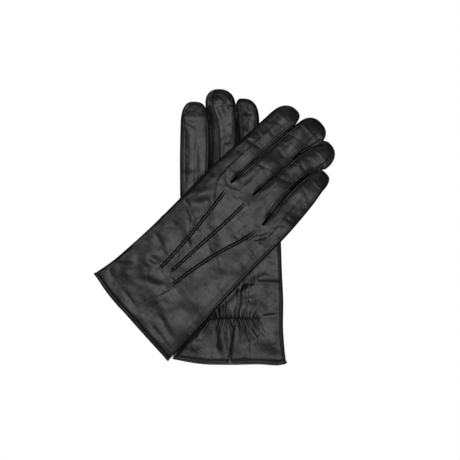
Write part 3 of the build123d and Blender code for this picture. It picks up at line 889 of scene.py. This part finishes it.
def make_coarse(sheets, step=4):
    """The same form with fewer points and no relief, for the lining, which stops short of the hem."""
    skin = Skin()
    for sheet in sheets:
        for strip in strips(sheet):
            rows = np.unique(np.r_[0 : strip["x"].shape[0] - 1 : step, strip["x"].shape[0] - 1])
            cols = np.unique(np.r_[0, 3, 7, SIDE_STEPS + len(sheet.seam_steps) - 1])
            last = strip["x"].shape[1] - 1
            inner = np.arange(cols[-1] + 3, last - cols[-1] - 1, 4)
            cols = np.unique(np.r_[cols, inner, last - cols])
            pick = np.ix_(rows, cols)
            x, y = strip["x"][pick], strip["y"][pick]
            _, z_low = sheet.heights(x, y, np.zeros_like(x), strip["rim"][pick])
            finger = strip["finger"].name if strip["finger"] else "hand"
            centre_x, centre_y = quad_centres(x, y)
            labels = np.full(centre_x.shape, finger + "_lining", dtype="<U20")
            if finger == "hand" and sheet.glove["side"] == "right":
                labels[centre_y < CUFF_SPLIT_Y] = "cuff_lining"
            # The hem flags mark what the lining leaves out here: the cuff's edge and the vent.
            cut = (centre_y - sheet.cuff_y(centre_x) < HEM_DEPTH - 3) & (finger == "hand")
            if sheet.side == "palm" and finger == "hand":
                cut = cut | (near_vent(sheet, centre_x, centre_y, 3.5) & (centre_y < VENT_TOP))
            skin.add(x, y, z_low, z_low, labels, cut, finger, not sheet.upper)
    skin.weld()
    keep = ~skin.hem
    skin.quads, skin.labels, skin.hem = skin.quads[keep], skin.labels[keep], skin.hem[keep]
    return skin


# --- bending and placing -----------------------------------------------------------------------

# Where each finger starts to droop, and by how many degrees it ends up drooping.
DROOP = {"index": (154.0, 6.0), "middle": (160.5, 8.5), "ring": (160.5, 9.5), "little": (148.0, 9.0)}
DROOP_RAMP = 22.0
CUFF_DROOP, CUFF_RAMP = 3.6, 24.0
SAG = 1.0  # how much lower the cuff's index side lies


def slope(distance, angle, length):
    """How far a drooping part has dropped at a distance beyond its root, and how steeply it runs there."""
    table = np.linspace(0, 130, 521)
    tilt = radians(angle) * ramp(table, 0, length)
    drop = np.concatenate([[0], np.cumsum(np.tan((tilt[1:] + tilt[:-1]) / 2) * np.diff(table))])
    return np.interp(distance, table, drop), np.interp(distance, table, tilt)


def droop(points, fingers):
    """The right glove's fingers and cuff hang from its hand, which lies highest."""
    x, y, z = points.T.copy()
    for name, (start, angle) in DROOP.items():
        at = (fingers == name) & (y > start)
        drop, tilt = slope(y[at] - start, angle, DROOP_RAMP)
        off = z[at] - MID_Z
        z[at] = MID_Z - drop + off * np.cos(tilt)
        y[at] = y[at] + off * np.sin(tilt)
    at = y < CUFF_FOLD_Y
    drop, tilt = slope(CUFF_FOLD_Y - y[at], CUFF_DROOP, CUFF_RAMP)
    off = z[at] - MID_Z
    sag = SAG * ramp(CUFF_FOLD_Y - y[at], 0, 45) * ramp(-x[at], -10, 50)
    z[at] = MID_Z - drop + off * np.cos(tilt) - sag
    y[at] = y[at] - off * np.sin(tilt)
    return np.stack([x, y, z], axis=-1)


UP = np.array((0, 0, 1.0))


def plan_axes(joint):
    """The joint's place and the plan directions of its glove's own x and y."""
    across = -Vector(joint["axis"])
    return Vector(joint["pos_m"]), across, Vector((-across.y, across.x, 0))


fold_at, RIGHT_X, RIGHT_Y = plan_axes(JOINTS["right_cuff_fold"])
right_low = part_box("right_trank")[0].z
RIGHT_ORIGIN = fold_at - RIGHT_Y * CUFF_FOLD_Y * MM
RIGHT_ORIGIN.z = right_low
left_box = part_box("left_trank")
LEFT_ORIGIN = Vector((0, left_box[0].y, left_box[0].z))
PLACES = {
    "left": (LEFT_ORIGIN, Vector((1, 0, 0)), Vector((0, 1, 0))),
    "right": (RIGHT_ORIGIN, RIGHT_X, RIGHT_Y),
}


def place(side, points, fingers="hand"):
    """Points from a glove's own coordinates, in millimetres, to the frame, in metres."""
    if side == "right":
        points = droop(points, np.broadcast_to(fingers, len(points)))
    origin, across, along = (np.array(v) for v in PLACES[side])
    return origin + MM * (points[:, :1] * across + points[:, 1:2] * along + points[:, 2:] * UP)


def place_flat(side, y):
    """The place in the frame of a point on a glove's own y axis."""
    origin, _, along = PLACES[side]
    return tuple(origin + along * y * MM)


# --- meshes ------------------------------------------------------------------------------------


def new_mesh(name, points, faces, normals, rest, material):
    mesh = bpy.data.meshes.new(name)
    mesh.from_pydata(points.tolist(), [], [list(dict.fromkeys(f)) for f in faces])
    mesh.materials.append(material)
    mesh.shade_smooth()
    attribute = mesh.attributes.new("rest", "FLOAT_VECTOR", "POINT")
    attribute.data.foreach_set("vector", np.ascontiguousarray(rest, dtype=np.float32).ravel())
    if normals is not None:
        mesh.normals_split_custom_set_from_vertices(normals.tolist())
    obj = bpy.data.objects.new(name, mesh)
    bpy.context.collection.objects.link(obj)
    return obj


def rim_edges(quads):
    """The directed edges that only one face uses."""
    edges = {}
    for quad in quads.tolist():
        ring = list(dict.fromkeys(quad))
        for a, b in zip(ring, ring[1:] + ring[:1]):
            if (b, a) in edges:
                del edges[(b, a)]
            else:
                edges[(a, b)] = True
    return list(edges)


def compact(quads):
    """The points that some quads use, and those quads numbered by them."""
    used, index = np.unique(quads, return_inverse=True)
    return used, index.reshape(quads.shape)


def shell(name, outer, inner, normals, inner_normals, rest, quads, material):
    """A sheet of even thickness: an outer face, an inner face and the rims that join them."""
    used, quads = compact(quads)
    n = len(used)
    faces = quads.tolist() + (quads[:, ::-1] + n).tolist()
    faces += [[b, a, a + n, b + n] for a, b in rim_edges(quads)]
    points = np.concatenate([outer[used], inner[used]])
    shading = np.concatenate([normals[used], -inner_normals[used]])
    return new_mesh(name, points, faces, shading, np.concatenate([rest[used], rest[used]]), material)


def finish_piece(obj, slot_name, nodes, body=None):
    """Hides the CAD nodes that a piece stands for and, if it rides one body, fastens the piece to that body.
    What the piece is made of (slot_name) is not used.
    """
    if body:
        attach(obj, body)
    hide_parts(*nodes)


CUFF_BODY = {"right": "right_cuff_end", "left": "left_hand"}
SPANS = {  # the body beyond a part's joint, and where along y the part would start and stop bending; the piece itself is only baked in place, not bent
    ("right", "cuff"): ("right_cuff_end", 49.5, 35.0),
    ("right", "index"): ("right_index", 154.0, 172.0),
    ("right", "middle"): ("right_middle", 160.5, 178.0),
    ("right", "ring"): ("right_ring", 160.5, 178.0),
    ("right", "little"): ("right_little", 148.0, 164.0),
    ("left", "index"): ("left_index_end", 186.0, 200.0),
    ("left", "middle"): ("left_middle_end", 204.0, 218.0),
    ("left", "ring"): ("left_ring_end", 222.0, 234.0),
}


def hang(obj, side, part):
    """Fastens a piece to its glove's hand or, where it crosses a joint, only bakes its place into its points
    without bending it.
    """
    hand = side + "_hand"
    if (side, part) in SPANS:
        body, start, end = SPANS[side, part]
        place_flat(side, start)
        place_flat(side, end)
        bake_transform(obj)
    else:
        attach(obj, hand)


# --- materials ---------------------------------------------------------------------------------


class Graph:
    """Short calls for building the nodes of a material or of the sky."""

    def __init__(self, tree):
        self.tree = tree

    def node(self, kind, inputs=None, **settings):
        node = self.tree.nodes.new(kind)
        for key, value in settings.items():
            setattr(node, key, value)
        for key, value in (inputs or {}).items():
            self.feed(node.inputs[key], value)
        return node

    def feed(self, socket, value):
        if isinstance(value, bpy.types.NodeSocket):
            self.tree.links.new(value, socket)
        else:
            socket.default_value = value

    def math(self, operation, *values):
        return self.node("ShaderNodeMath", dict(enumerate(values)), operation=operation).outputs["Value"]

    def by_ray(self, seen, unseen):
        """One surface or glow for the camera's own view, and another for the light that falls on the rest."""
        ray = self.node("ShaderNodeLightPath").outputs["Is Camera Ray"]
        return self.node("ShaderNodeMixShader", {0: ray, 1: unseen, 2: seen}).outputs[0]


class Nodes(Graph):
    """The nodes of one material, with its textures measured in each glove's own millimetres."""

    def __init__(self, name):
        self.material = bpy.data.materials.new(name)
        self.material.use_nodes = True
        super().__init__(self.material.node_tree)
        self.surface = self.tree.nodes["Principled BSDF"]
        self.coords = self.node("ShaderNodeAttribute", attribute_name="rest").outputs["Vector"]

    def noise(self, scale, detail=4.0, roughness=0.55, distortion=0.0):
        inputs = {"Vector": self.coords, "Scale": scale, "Detail": detail, "Roughness": roughness}
        return self.node("ShaderNodeTexNoise", {**inputs, "Distortion": distortion}).outputs["Fac"]

    def cells(self, scale, feature="F1"):
        inputs = {"Vector": self.coords, "Scale": scale}
        return self.node("ShaderNodeTexVoronoi", inputs, feature=feature).outputs["Distance"]

    def bands(self, scale, direction, distortion=0.0):
        inputs = {"Vector": self.coords, "Scale": scale, "Distortion": distortion}
        return self.node("ShaderNodeTexWave", inputs, bands_direction=direction).outputs["Fac"]

    def spread(self, value, low, high, start=0.0, end=1.0):
        inputs = {"Value": value, "From Min": start, "From Max": end, "To Min": low, "To Max": high}
        return self.node("ShaderNodeMapRange", inputs).outputs["Result"]

    def tone(self, share, dark, light):
        """A near-neutral colour between two levels, the blue of each a little above the rest."""
        return self.node("ShaderNodeMix", {0: share, 6: dark, 7: light}, data_type="RGBA").outputs[2]

    def bump(self, height, strength, distance):
        inputs = {"Height": height, "Strength": strength, "Distance": distance}
        return self.node("ShaderNodeBump", inputs).outputs["Normal"]

    def set(self, **values):
        for key, value in values.items():
            self.feed(self.surface.inputs[key.replace("_", " ")], value)
        return self.material


YARN = (0.012, 0.012, 0.013, 1), (0.035, 0.035, 0.037, 1)


def leather():
    """Black leather, finely grained, with duller and glossier patches."""
    n = Nodes("black_leather")
    grain = n.math("MULTIPLY", n.cells(1.7), 0.7)
    wrinkle = n.noise(0.55, 5.0, 0.6, 0.6)
    pores = n.noise(5.5, 2.0)
    coarse = n.math("ADD", grain, n.math("MULTIPLY", wrinkle, 1.2))
    height = n.math("ADD", coarse, n.math("MULTIPLY", pores, 0.25))
    patch = n.noise(0.035, 3.0)
    shine = n.spread(n.noise(0.32, 3.0), 0.40, 0.62, 0.3, 0.7)
    tone = n.tone(n.spread(patch, 0, 1, 0.35, 0.65), (0.006, 0.006, 0.0063, 1), (0.010, 0.010, 0.0103, 1))
    rough = n.math("ADD", n.spread(n.noise(0.06, 4.0), 0.27, 0.37, 0.3, 0.7), n.spread(pores, -0.04, 0.04))
    n.set(Base_Color=tone, Roughness=rough, Normal=n.bump(height, 0.35, 0.00012))
    return n.set(Specular_IOR_Level=shine, Coat_Weight=0.12, Coat_Roughness=0.28)


def knit():
    """A soft, fuzzy knit of fine courses and wales."""
    n = Nodes("lining_knit")
    courses, wales = n.bands(0.42, "X", 1.2), n.bands(0.5, "Y")
    fuzz = n.noise(2.2, 5.0)
    height = n.math("ADD", n.math("MULTIPLY", courses, wales), n.math("MULTIPLY", fuzz, 0.5))
    tone = n.tone(fuzz, *YARN)
    return n.set(Base_Color=tone, Roughness=0.95, Normal=n.bump(height, 0.8, 0.0004), Sheen_Weight=0.3)


def twisted_thread():
    """Dark sewing thread, whose twist shows as slanting ridges."""
    n = Nodes("sewing_thread")
    twist = n.bands(1.6, "DIAGONAL")
    tone = n.tone(twist, *YARN)
    return n.set(Base_Color=tone, Roughness=n.spread(twist, 0.35, 0.55), Normal=n.bump(twist, 0.6, 0.0001))


def woven_elastic():
    """Ribbed elastic tape."""
    n = Nodes("elastic_band")
    ribs = n.bands(0.35, "Y")
    tone = n.tone(n.noise(1.4, 3.0), (0.03, 0.03, 0.032, 1), (0.06, 0.06, 0.063, 1))
    return n.set(Base_Color=tone, Roughness=0.85, Normal=n.bump(ribs, 0.8, 0.0003))


LEATHER_LOOK, KNIT, THREAD, ELASTIC = leather(), knit(), twisted_thread(), woven_elastic()


# --- the gloves' pieces ------------------------------------------------------------------------


def outward(skin, points, normals):
    """The open edge of a glove: its directed edges, and at each of its points the way out of the leather."""
    edges = rim_edges(skin.quads)
    out = np.zeros_like(points)
    for a, b in edges:
        side = np.cross(points[b] - points[a], normals[a] + normals[b])
        side /= max(np.linalg.norm(side), 1e-12)
        out[a] += side
        out[b] += side
    return edges, out / np.maximum(np.linalg.norm(out, axis=1, keepdims=True), 1e-12)


TURN_STEPS = 5
HEM_OUT, HEM_IN = 0.95, 1.75  # how far under the outer face the hem's own two faces lie


def hem_piece(name, skin, points, normals, low_normals, edges, out):
    """The turned-in hem: a rounded fold along the open edge, and the facing inside it."""
    used, quads = compact(skin.quads[skin.hem])
    n = len(used)
    where = {old: new for new, old in enumerate(used)}
    top = points[used] - HEM_OUT * MM * low_normals[used]
    inner = points[used] - HEM_IN * MM * low_normals[used]
    faces = quads.tolist() + (quads[:, ::-1] + n).tolist()
    verts, shading = [top, inner], [low_normals[used], -low_normals[used]]
    rest = [skin.flat[used], skin.flat[used]]
    border = [(a, b) for a, b in edges if a in where and b in where]
    border_set = set(border)
    for a, b in rim_edges(quads):
        if (used[a], used[b]) not in border_set:
            faces.append([b, a, a + n, b + n])
    ring = sorted({p for edge in border for p in edge})
    slot_of = {p: i for i, p in enumerate(ring)}
    ring = np.array(ring)
    radius = HEM_IN / 2 * MM
    centre = points[ring] - radius * low_normals[ring]
    base = 2 * n
    for step in range(TURN_STEPS + 1):
        turn = pi * step / TURN_STEPS
        ray = cos(turn) * low_normals[ring] + sin(turn) * out[ring]
        verts.append(centre + radius * ray)
        shading.append(normals[ring] if step == 0 else ray)
        rest.append(skin.flat[ring] + (0, -step * 0.5, 0))
    m = len(ring)
    for a, b in border:
        i, j = slot_of[a], slot_of[b]
        for step in range(TURN_STEPS):
            low, high = base + step * m, base + (step + 1) * m
            faces.append([low + j, low + i, high + i, high + j])
        top_a, top_b = where[a], where[b]
        faces.append([base + i, base + j, top_b, top_a])
        last = base + TURN_STEPS * m
        faces.append([last + j, last + i, top_a + n, top_b + n])
    verts, shading, rest = (np.concatenate(blocks) for blocks in (verts, shading, rest))
    return new_mesh(name, verts, faces, shading, rest, LEATHER_LOOK)


def nodes_for(side, label):
    """The CAD nodes that a leather or lining piece stands for."""
    finger, kind = label.split("_")
    if finger == "hand" and kind == "lining":
        return ["left_lining" if side == "left" else "right_hand_lining"]
    if finger == "hand":
        return [side + "_trank"]
    if finger == "cuff":
        return ["right_cuff_lining" if kind == "lining" else "right_cuff"]
    if side == "left" and finger == "little":
        return ["left_fourchettes"] if kind == "gussets" else []
    stem = f"{side}_{finger}_" + ("tip_" if side == "left" else "")
    return [stem + {"leather": "sheath", "gussets": "fourchettes", "lining": "lining"}[kind]]


def cut_pieces(side, skin, outer, inner, normals, inner_normals, look, slot_name):
    """Makes one piece from the quads of each label."""
    for label in np.unique(skin.labels).tolist():
        quads = skin.quads[skin.labels == label]
        name = f"{side}_visual_{label}"
        obj = shell(name, outer, inner, normals, inner_normals, skin.flat, quads, look)
        hang(obj, side, label.split("_")[0])
        finish_piece(obj, slot_name, nodes_for(side, label))


LINING_OUT, LINING_IN = 1.95, 2.3  # how far under the leather's outer face the lining's two faces lie


def build_glove(glove):
    """All of one glove but its thumb."""
    side = glove["side"]
    sheets = make_sheets(glove)
    skin = make_skin(sheets)
    points = place(side, skin.flat, skin.fingers)
    low = place(side, skin.low, skin.fingers)
    normals, low_normals = corner_normals(points, skin.quads), corner_normals(low, skin.quads)
    inner = points - LEATHER * MM * low_normals
    edges, out = outward(skin, low, low_normals)
    cut_pieces(side, skin, points, inner, normals, low_normals, LEATHER_LOOK, "leather")
    hem = hem_piece(f"{side}_visual_hem", skin, points, normals, low_normals, edges, out)
    finish_piece(hem, "leather", [side + "_cuff_hem"], CUFF_BODY[side])
    coarse = make_coarse(sheets)
    base = place(side, coarse.flat, coarse.fingers)
    base_normals = corner_normals(base, coarse.quads)
    outer, inner = (base - depth * MM * base_normals for depth in (LINING_OUT, LINING_IN))
    cut_pieces(side, coarse, outer, inner, base_normals, base_normals, KNIT, "lining")
    sew(glove, sheets)


# --- threads and elastic -----------------------------------------------------------------------

CAPSULE_RINGS, CAPSULE_SIDES = 6, 6


def stitches(name, side, sheet_paths, half_width, node, body):
    """Short stitches lying on sheets: each sheet comes with (start, end) pairs of plan points, and a lift."""
    verts, faces = [], []
    share = (1 - np.cos(np.linspace(0, pi, CAPSULE_RINGS))) / 2
    turn = np.arange(CAPSULE_SIDES) * 2 * pi / CAPSULE_SIDES
    swell = (half_width * np.sqrt(np.maximum(1 - (2 * share - 1) ** 4, 0.02)))[None, :, None]
    for sheet, path, lift in sheet_paths:
        path = np.array(path, float)
        line = path[:, None, 0] + (path[:, None, 1] - path[:, None, 0]) * share[None, :, None]
        x, y = line[..., 0], line[..., 1]
        z, _ = sheet.heights(x, y)
        ends_z = z[:, :1] + (z[:, -1:] - z[:, :1]) * share
        up = 1 if sheet.upper else -1
        z = np.maximum(z * up, ends_z * up) * up + up * lift
        along = path[:, 1] - path[:, 0]
        along /= np.linalg.norm(along, axis=1, keepdims=True)
        spread_x = x[..., None] - along[:, None, None, 1] * np.cos(turn) * swell
        spread_y = y[..., None] + along[:, None, None, 0] * np.cos(turn) * swell
        spread_z = z[..., None] + np.sin(turn) * swell
        for item in np.stack([spread_x, spread_y, spread_z], axis=-1):
            base = len(verts) * CAPSULE_RINGS * CAPSULE_SIDES
            verts.append(item.reshape(-1, 3))
            for r in range(CAPSULE_RINGS - 1):
                for s in range(CAPSULE_SIDES):
                    a = base + r * CAPSULE_SIDES + s
                    b = base + r * CAPSULE_SIDES + (s + 1) % CAPSULE_SIDES
                    faces.append([a, b, b + CAPSULE_SIDES, a + CAPSULE_SIDES])
            faces.append([base + s for s in reversed(range(CAPSULE_SIDES))])
            faces.append([base + (CAPSULE_RINGS - 1) * CAPSULE_SIDES + s for s in range(CAPSULE_SIDES)])
    flat = np.concatenate(verts)
    obj = new_mesh(name, place(side, flat), faces, None, flat, THREAD)
    finish_piece(obj, "thread", [node], body)


def run(line, start, end, pitch, length, offset=0.0, along_y=True):
    """Evenly spaced stitches along a curve, as (start, end) plan points."""
    found = []
    for at in np.arange(start, end - length, pitch):
        ends = []
        for t in (at, at + length):
            ends.append((line(t) + offset, t) if along_y else (t, line(t) + offset))
        found.append(ends)
    return found


HEM_RUN = dict(start=-51, end=50.5, pitch=2.1, length=1.35, offset=HEM_ROW)
HEM_SKIP = (-3.5, 8.0)  # no hem stitches between these x, where the vent opens
HEM_LIFT = {True: 0.05, False: -0.2}  # how far off the upper and the lower sheet the hem's stitches stand
POINT_RUN = dict(pitch=3.7, length=2.3, offset=-1.1)
OUTSEAM_RUN = dict(start=52, pitch=3.1, length=1.9, offset=-2.6)
GATHER_STITCH, KNOT_HALF, KNOT_TURNS = 1.0, 0.8, 5


def sew(glove, sheets):
    """All the thread of one glove, and the elastic that its gathers are sewn to."""
    side = glove["side"]
    upper, lower = sheets
    palm = upper if upper.side == "palm" else lower
    back = lower if upper.side == "palm" else upper
    hems = []
    for sheet in sheets:
        path = run(sheet.cuff_y, along_y=False, **HEM_RUN)
        if sheet.side == "palm":
            path = [p for p in path if not HEM_SKIP[0] < (p[0][0] + p[1][0]) / 2 < HEM_SKIP[1]]
        hems.append((sheet, path, HEM_LIFT[sheet.upper]))
    rows = []
    for line, (start, end) in zip(glove["back_lines"], POINTS):
        rows += run(line, start, end, **POINT_RUN)
    outseam = run(glove["right_edge"], end=glove["knuckles"][-1][0] - 4, **OUTSEAM_RUN)
    seats = np.arange(GATHER_X[0] + 0.6, GATHER_X[1] - 0.6, GATHER_PITCH / 2)
    gathers = [((x, GATHER_Y), (x + GATHER_STITCH, GATHER_Y)) for x in seats]
    for end_x in GATHER_X:
        for k in range(KNOT_TURNS):
            turn = pi * k / KNOT_TURNS
            dx, dy = KNOT_HALF * cos(turn), KNOT_HALF * sin(turn)
            gathers.append(((end_x - dx, GATHER_Y - dy - KNOT_LOW), (end_x + dx, GATHER_Y + dy - KNOT_LOW)))
    for name, paths, half_width, node, body in (
        ("hem_stitches", hems, 0.3, "hem_stitches", CUFF_BODY[side]),
        ("point_stitches", [(back, rows, 0.0)], 0.2, "back_points", side + "_hand"),
        ("outseam_stitches", [(upper, outseam, -0.1)], 0.18, "outseam_thread", side + "_hand"),
        ("gather_stitches", [(palm, gathers, 0.1)], 0.28, "gather_thread", CUFF_BODY[side]),
    ):
        stitches(f"{side}_visual_{name}", side, paths, half_width, f"{side}_{node}", body)
    elastic_band(side, palm)


ELASTIC_HALF, ELASTIC_THICK, ELASTIC_DEEP = 2.6, 0.6, 1.1
ELASTIC_RIB, ELASTIC_RIB_PITCH = 0.12, 1.4


def elastic_band(side, palm):
    """The flat elastic behind the gathers."""
    across = np.linspace(GATHER_X[0], GATHER_X[1], 70)
    down = np.linspace(GATHER_Y - ELASTIC_HALF, GATHER_Y + ELASTIC_HALF, 7)
    x, y = np.meshgrid(across, down)
    _, z = palm.heights(x, y)
    up = 1 if palm.upper else -1
    z = z + up * ELASTIC_RIB * np.sin(2 * pi * x / ELASTIC_RIB_PITCH)
    quads = grid_quads(np.arange(x.size).reshape(x.shape))
    if up < 0:
        quads = quads[:, ::-1]
    flat = np.stack([x, y, z - up * ELASTIC_DEEP], axis=-1).reshape(-1, 3)
    deep = flat - (0, 0, up * ELASTIC_THICK)
    points, inner = place(side, flat), place(side, deep)
    normals = corner_normals(points, quads)
    obj = shell(f"{side}_visual_elastic", points, inner, normals, normals, flat, quads, ELASTIC)
    finish_piece(obj, "elastic", [side + "_wrist_elastic"], CUFF_BODY[side])


# --- thumbs ------------------------------------------------------------------------------------

THUMB_START, THUMB_END = -12.5, 57.2
THUMB_HALF, THUMB_MIDDLE = 3.1, 3.3  # half its thickness, and the height of its middle
THUMB_WIDE = curve((-12.5, 12.4), (0, 12.4), (25, 11.6), (45, 11.2), (57.5, 11.0))


def thumb_grid(inset, rows, sides):
    """A flattened tube with round ends, about the thumb's own base point, as closed rings of points."""
    start, end = THUMB_START + inset, THUMB_END - inset
    turn = np.linspace(0, pi, rows)
    y = (start + end) / 2 - (end - start) / 2 * np.cos(turn)
    near = np.clip(np.minimum(y - start, end - y) / (-THUMB_START - inset), 0, 1)
    close = (1 - (1 - near) ** 2.3) ** (1 / 2.3)
    wide = (THUMB_WIDE(y) - inset) * close
    angle = np.linspace(0, 2 * pi, sides, endpoint=False)
    cx = np.sign(np.cos(angle)) * np.abs(np.cos(angle)) ** 0.7
    cz = np.sign(np.sin(angle)) * np.abs(np.sin(angle)) ** 0.75
    high = (THUMB_HALF - inset) * np.clip(close * 1.5, 0, 1)
    x = wide[:, None] * cx
    z = THUMB_MIDDLE + high[:, None] * cz
    return x, np.broadcast_to(y[:, None], x.shape), z, cz


def tube(x, y, z):
    """Points and quads of a tube whose rings are the rows of a grid."""
    rows, sides = x.shape
    index = np.arange(rows * sides).reshape(rows, sides)
    across = np.roll(index, -1, axis=1)
    quads = np.stack([index[:-1], index[1:], across[1:], across[:-1]], axis=-1).reshape(-1, 4)
    return np.stack([x, y, z], axis=-1).reshape(-1, 3), quads


COLLAR = (  # heights off the palm and radii, from the palm up to the thumb
    (-0.9, 14.6), (-0.2, 14.3), (0.3, 13.9), (0.55, 13.6), (0.3, 13.35),
    (0.9, 13.1), (1.7, 12.8), (2.6, 12.3), (3.1, 11.4),
)
PUCKER, PUCKERS, PUCKER_RADIUS = 0.08, 40, 13.9


def collar(side, to_frame):
    """The round, puckered seam that sets the thumb into the palm, about the thumb's base."""
    turn = np.linspace(0, 2 * pi, 121)[:-1]
    height, radius = np.array(COLLAR).T
    pucker = PUCKER * np.cos(PUCKERS * turn)
    rings = []
    for depth in (0, LEATHER):
        x = (radius[:, None] - depth) * np.cos(turn)
        y = (radius[:, None] - depth) * np.sin(turn)
        h = height[:, None] - 0.7 * depth + pucker * bell(radius - PUCKER_RADIUS, 0.6)[:, None]
        rings.append(tube(x, y, h if side == "left" else 2 * THUMB_MIDDLE - h))
    flat, quads = rings[0]
    points, inner = to_frame(flat), to_frame(rings[1][0])
    if side == "right":
        quads = quads[:, ::-1]
    normals = corner_normals(points, quads)
    obj = shell(f"{side}_visual_thumb_seam", points, inner, normals, normals, flat, quads, LEATHER_LOOK)
    finish_piece(obj, "leather", [f"{side}_thumb_sheath"], f"{side}_thumb")


def thumb_relief(x, y, cz):
    """The thumb's crumple, a seam down its side, and the crease across its root."""
    face = np.sign(cz)
    crumple = 0.5 * leather_relief(x * 1.7, y * 1.7 + 33 * face, 20)
    seam = ridge(x - 8.5 + 0.02 * y) * ramp(y, 10, 18) * (1 - ramp(y, 44, 52))
    total = face * (crumple * np.abs(cz) - 0.15) + np.where(cz > 0, 0.25, 0) * seam
    return total + face * 0.2 * ridge(y - 2 - 0.03 * x**2) * np.abs(cz)


def build_thumb(side, angle):
    """The thumb, pressed flat between the two gloves, at an angle in degrees to its glove."""
    _, x_dir, y_dir = PLACES[side]
    turn = radians(-angle)
    along = np.array(y_dir * cos(turn) - x_dir * sin(turn))
    across = np.array(x_dir * cos(turn) + y_dir * sin(turn))
    base = Vector(JOINTS[f"{side}_thumb_swing"]["pos_m"])
    origin = np.array((base.x, base.y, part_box(f"{side}_thumb_sheath")[0].z))

    def to_frame(p):
        return origin + MM * (p[:, :1] * across + p[:, 1:2] * along + p[:, 2:] * UP)

    collar(side, to_frame)
    for name, node, inset, thick, look, rows, sides in (
        ("leather", "sheath", 0.0, LEATHER, LEATHER_LOOK, 120, 96),
        ("lining", "lining", 1.9, 0.35, KNIT, 40, 32),
    ):
        x, y, z, cz = thumb_grid(inset, rows, sides)
        if name == "leather":
            z = z + thumb_relief(x, y, cz)
        flat, quads = tube(x, y, z)
        inner_flat, _ = tube(*thumb_grid(inset + thick, rows, sides)[:3])
        points, inner = to_frame(flat), to_frame(inner_flat)
        quads = quads[:, ::-1]
        normals = corner_normals(points, quads)
        obj = shell(f"{side}_visual_thumb_{name}", points, inner, normals, normals, flat, quads, look)
        finish_piece(obj, name, [f"{side}_thumb_{node}"], f"{side}_thumb")


build_glove(RIGHT)
build_glove(LEFT)
build_thumb("right", 0.0)
build_thumb("left", 38.0)


# --- stage, light and camera -------------------------------------------------------------------


def paper():
    """White paper that doesn't throw light up on the folded edges of the leather."""
    n = Nodes("paper")
    n.tree.nodes.remove(n.surface)
    seen = n.node("ShaderNodeEmission", {"Color": (1, 1, 1, 1), "Strength": 1.0}).outputs[0]
    unseen = n.node("ShaderNodeBsdfDiffuse", {"Color": (0.08, 0.08, 0.08, 1)}).outputs[0]
    n.feed(n.tree.nodes["Material Output"].inputs["Surface"], n.by_ray(seen, unseen))
    return n.material


bpy.ops.mesh.primitive_plane_add(size=8)
floor = bpy.context.object
floor.name = "floor"
floor.data.materials.append(paper())
floor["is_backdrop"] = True

world = bpy.data.worlds.new("studio")
bpy.context.scene.world = world
world.use_nodes = True
sky = Graph(world.node_tree)
sky.tree.nodes.clear()
towards = sky.node("ShaderNodeTexCoord").outputs["Generated"]
height = sky.node("ShaderNodeSeparateXYZ", {0: towards}).outputs["Z"]


def softbox(direction, spread, level):
    """A soft-edged lamp in the sky, spread degrees in radius."""
    aim = Vector(direction).normalized()
    dot = sky.node("ShaderNodeVectorMath", {0: towards, 1: aim}, operation="DOT_PRODUCT").outputs["Value"]
    edges = {"From Min": cos(radians(spread * 1.35)), "From Max": cos(radians(spread * 0.65))}
    fade = sky.node("ShaderNodeMapRange", {"Value": dot, **edges}, interpolation_type="SMOOTHSTEP")
    return sky.math("MULTIPLY", fade.outputs["Result"], level)


HORIZON_LEVEL, ZENITH_LEVEL = 0.025, 0.24
SOFTBOXES = (  # direction, radius in degrees, brightness
    ((0.05, 0.04, 1.0), 22, 1.55),
    ((0.02, 0.05, 1.0), 11, 1.6),
    ((0.52, -0.42, 0.8), 12, 2.8),
    ((-0.6, 0.35, 0.7), 10, 2.4),
    ((-0.2, -1.0, 0.35), 14, 0.6),
    ((-1.0, 0.1, 0.35), 14, 0.6),
    ((0.2, 1.0, 0.35), 14, 0.5),
    ((1.0, -0.1, 0.35), 14, 0.5),
)
level = sky.math("MULTIPLY_ADD", height, ZENITH_LEVEL - HORIZON_LEVEL, HORIZON_LEVEL)
for box in SOFTBOXES:
    level = sky.math("ADD", level, softbox(*box))
glow = sky.node("ShaderNodeBackground", {"Strength": level}).outputs[0]
plain = sky.node("ShaderNodeBackground", {"Color": (1, 1, 1, 1)}).outputs[0]
sky.node("ShaderNodeOutputWorld", {"Surface": sky.by_ray(plain, glow)})

bpy.context.scene.view_settings.view_transform = "Standard"

CAMERA_LENS, CAMERA_SENSOR = 135.0, 36.0
FIELD, CAMERA_PLANE, CAMERA_Y = 0.4278, 0.020, -0.0086  # the width seen, at what height, and the aim's place
camera_data = bpy.data.cameras.new("camera")
camera_data.lens, camera_data.sensor_width = CAMERA_LENS, CAMERA_SENSOR
camera = bpy.data.objects.new("camera", camera_data)
camera.location = (0, CAMERA_Y, CAMERA_PLANE + FIELD * CAMERA_LENS / CAMERA_SENSOR)
bpy.context.collection.objects.link(camera)
bpy.context.scene.camera = camera

seen_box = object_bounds()
lists = [[list(corner) for corner in corners] for corners in (cad_box, seen_box)]
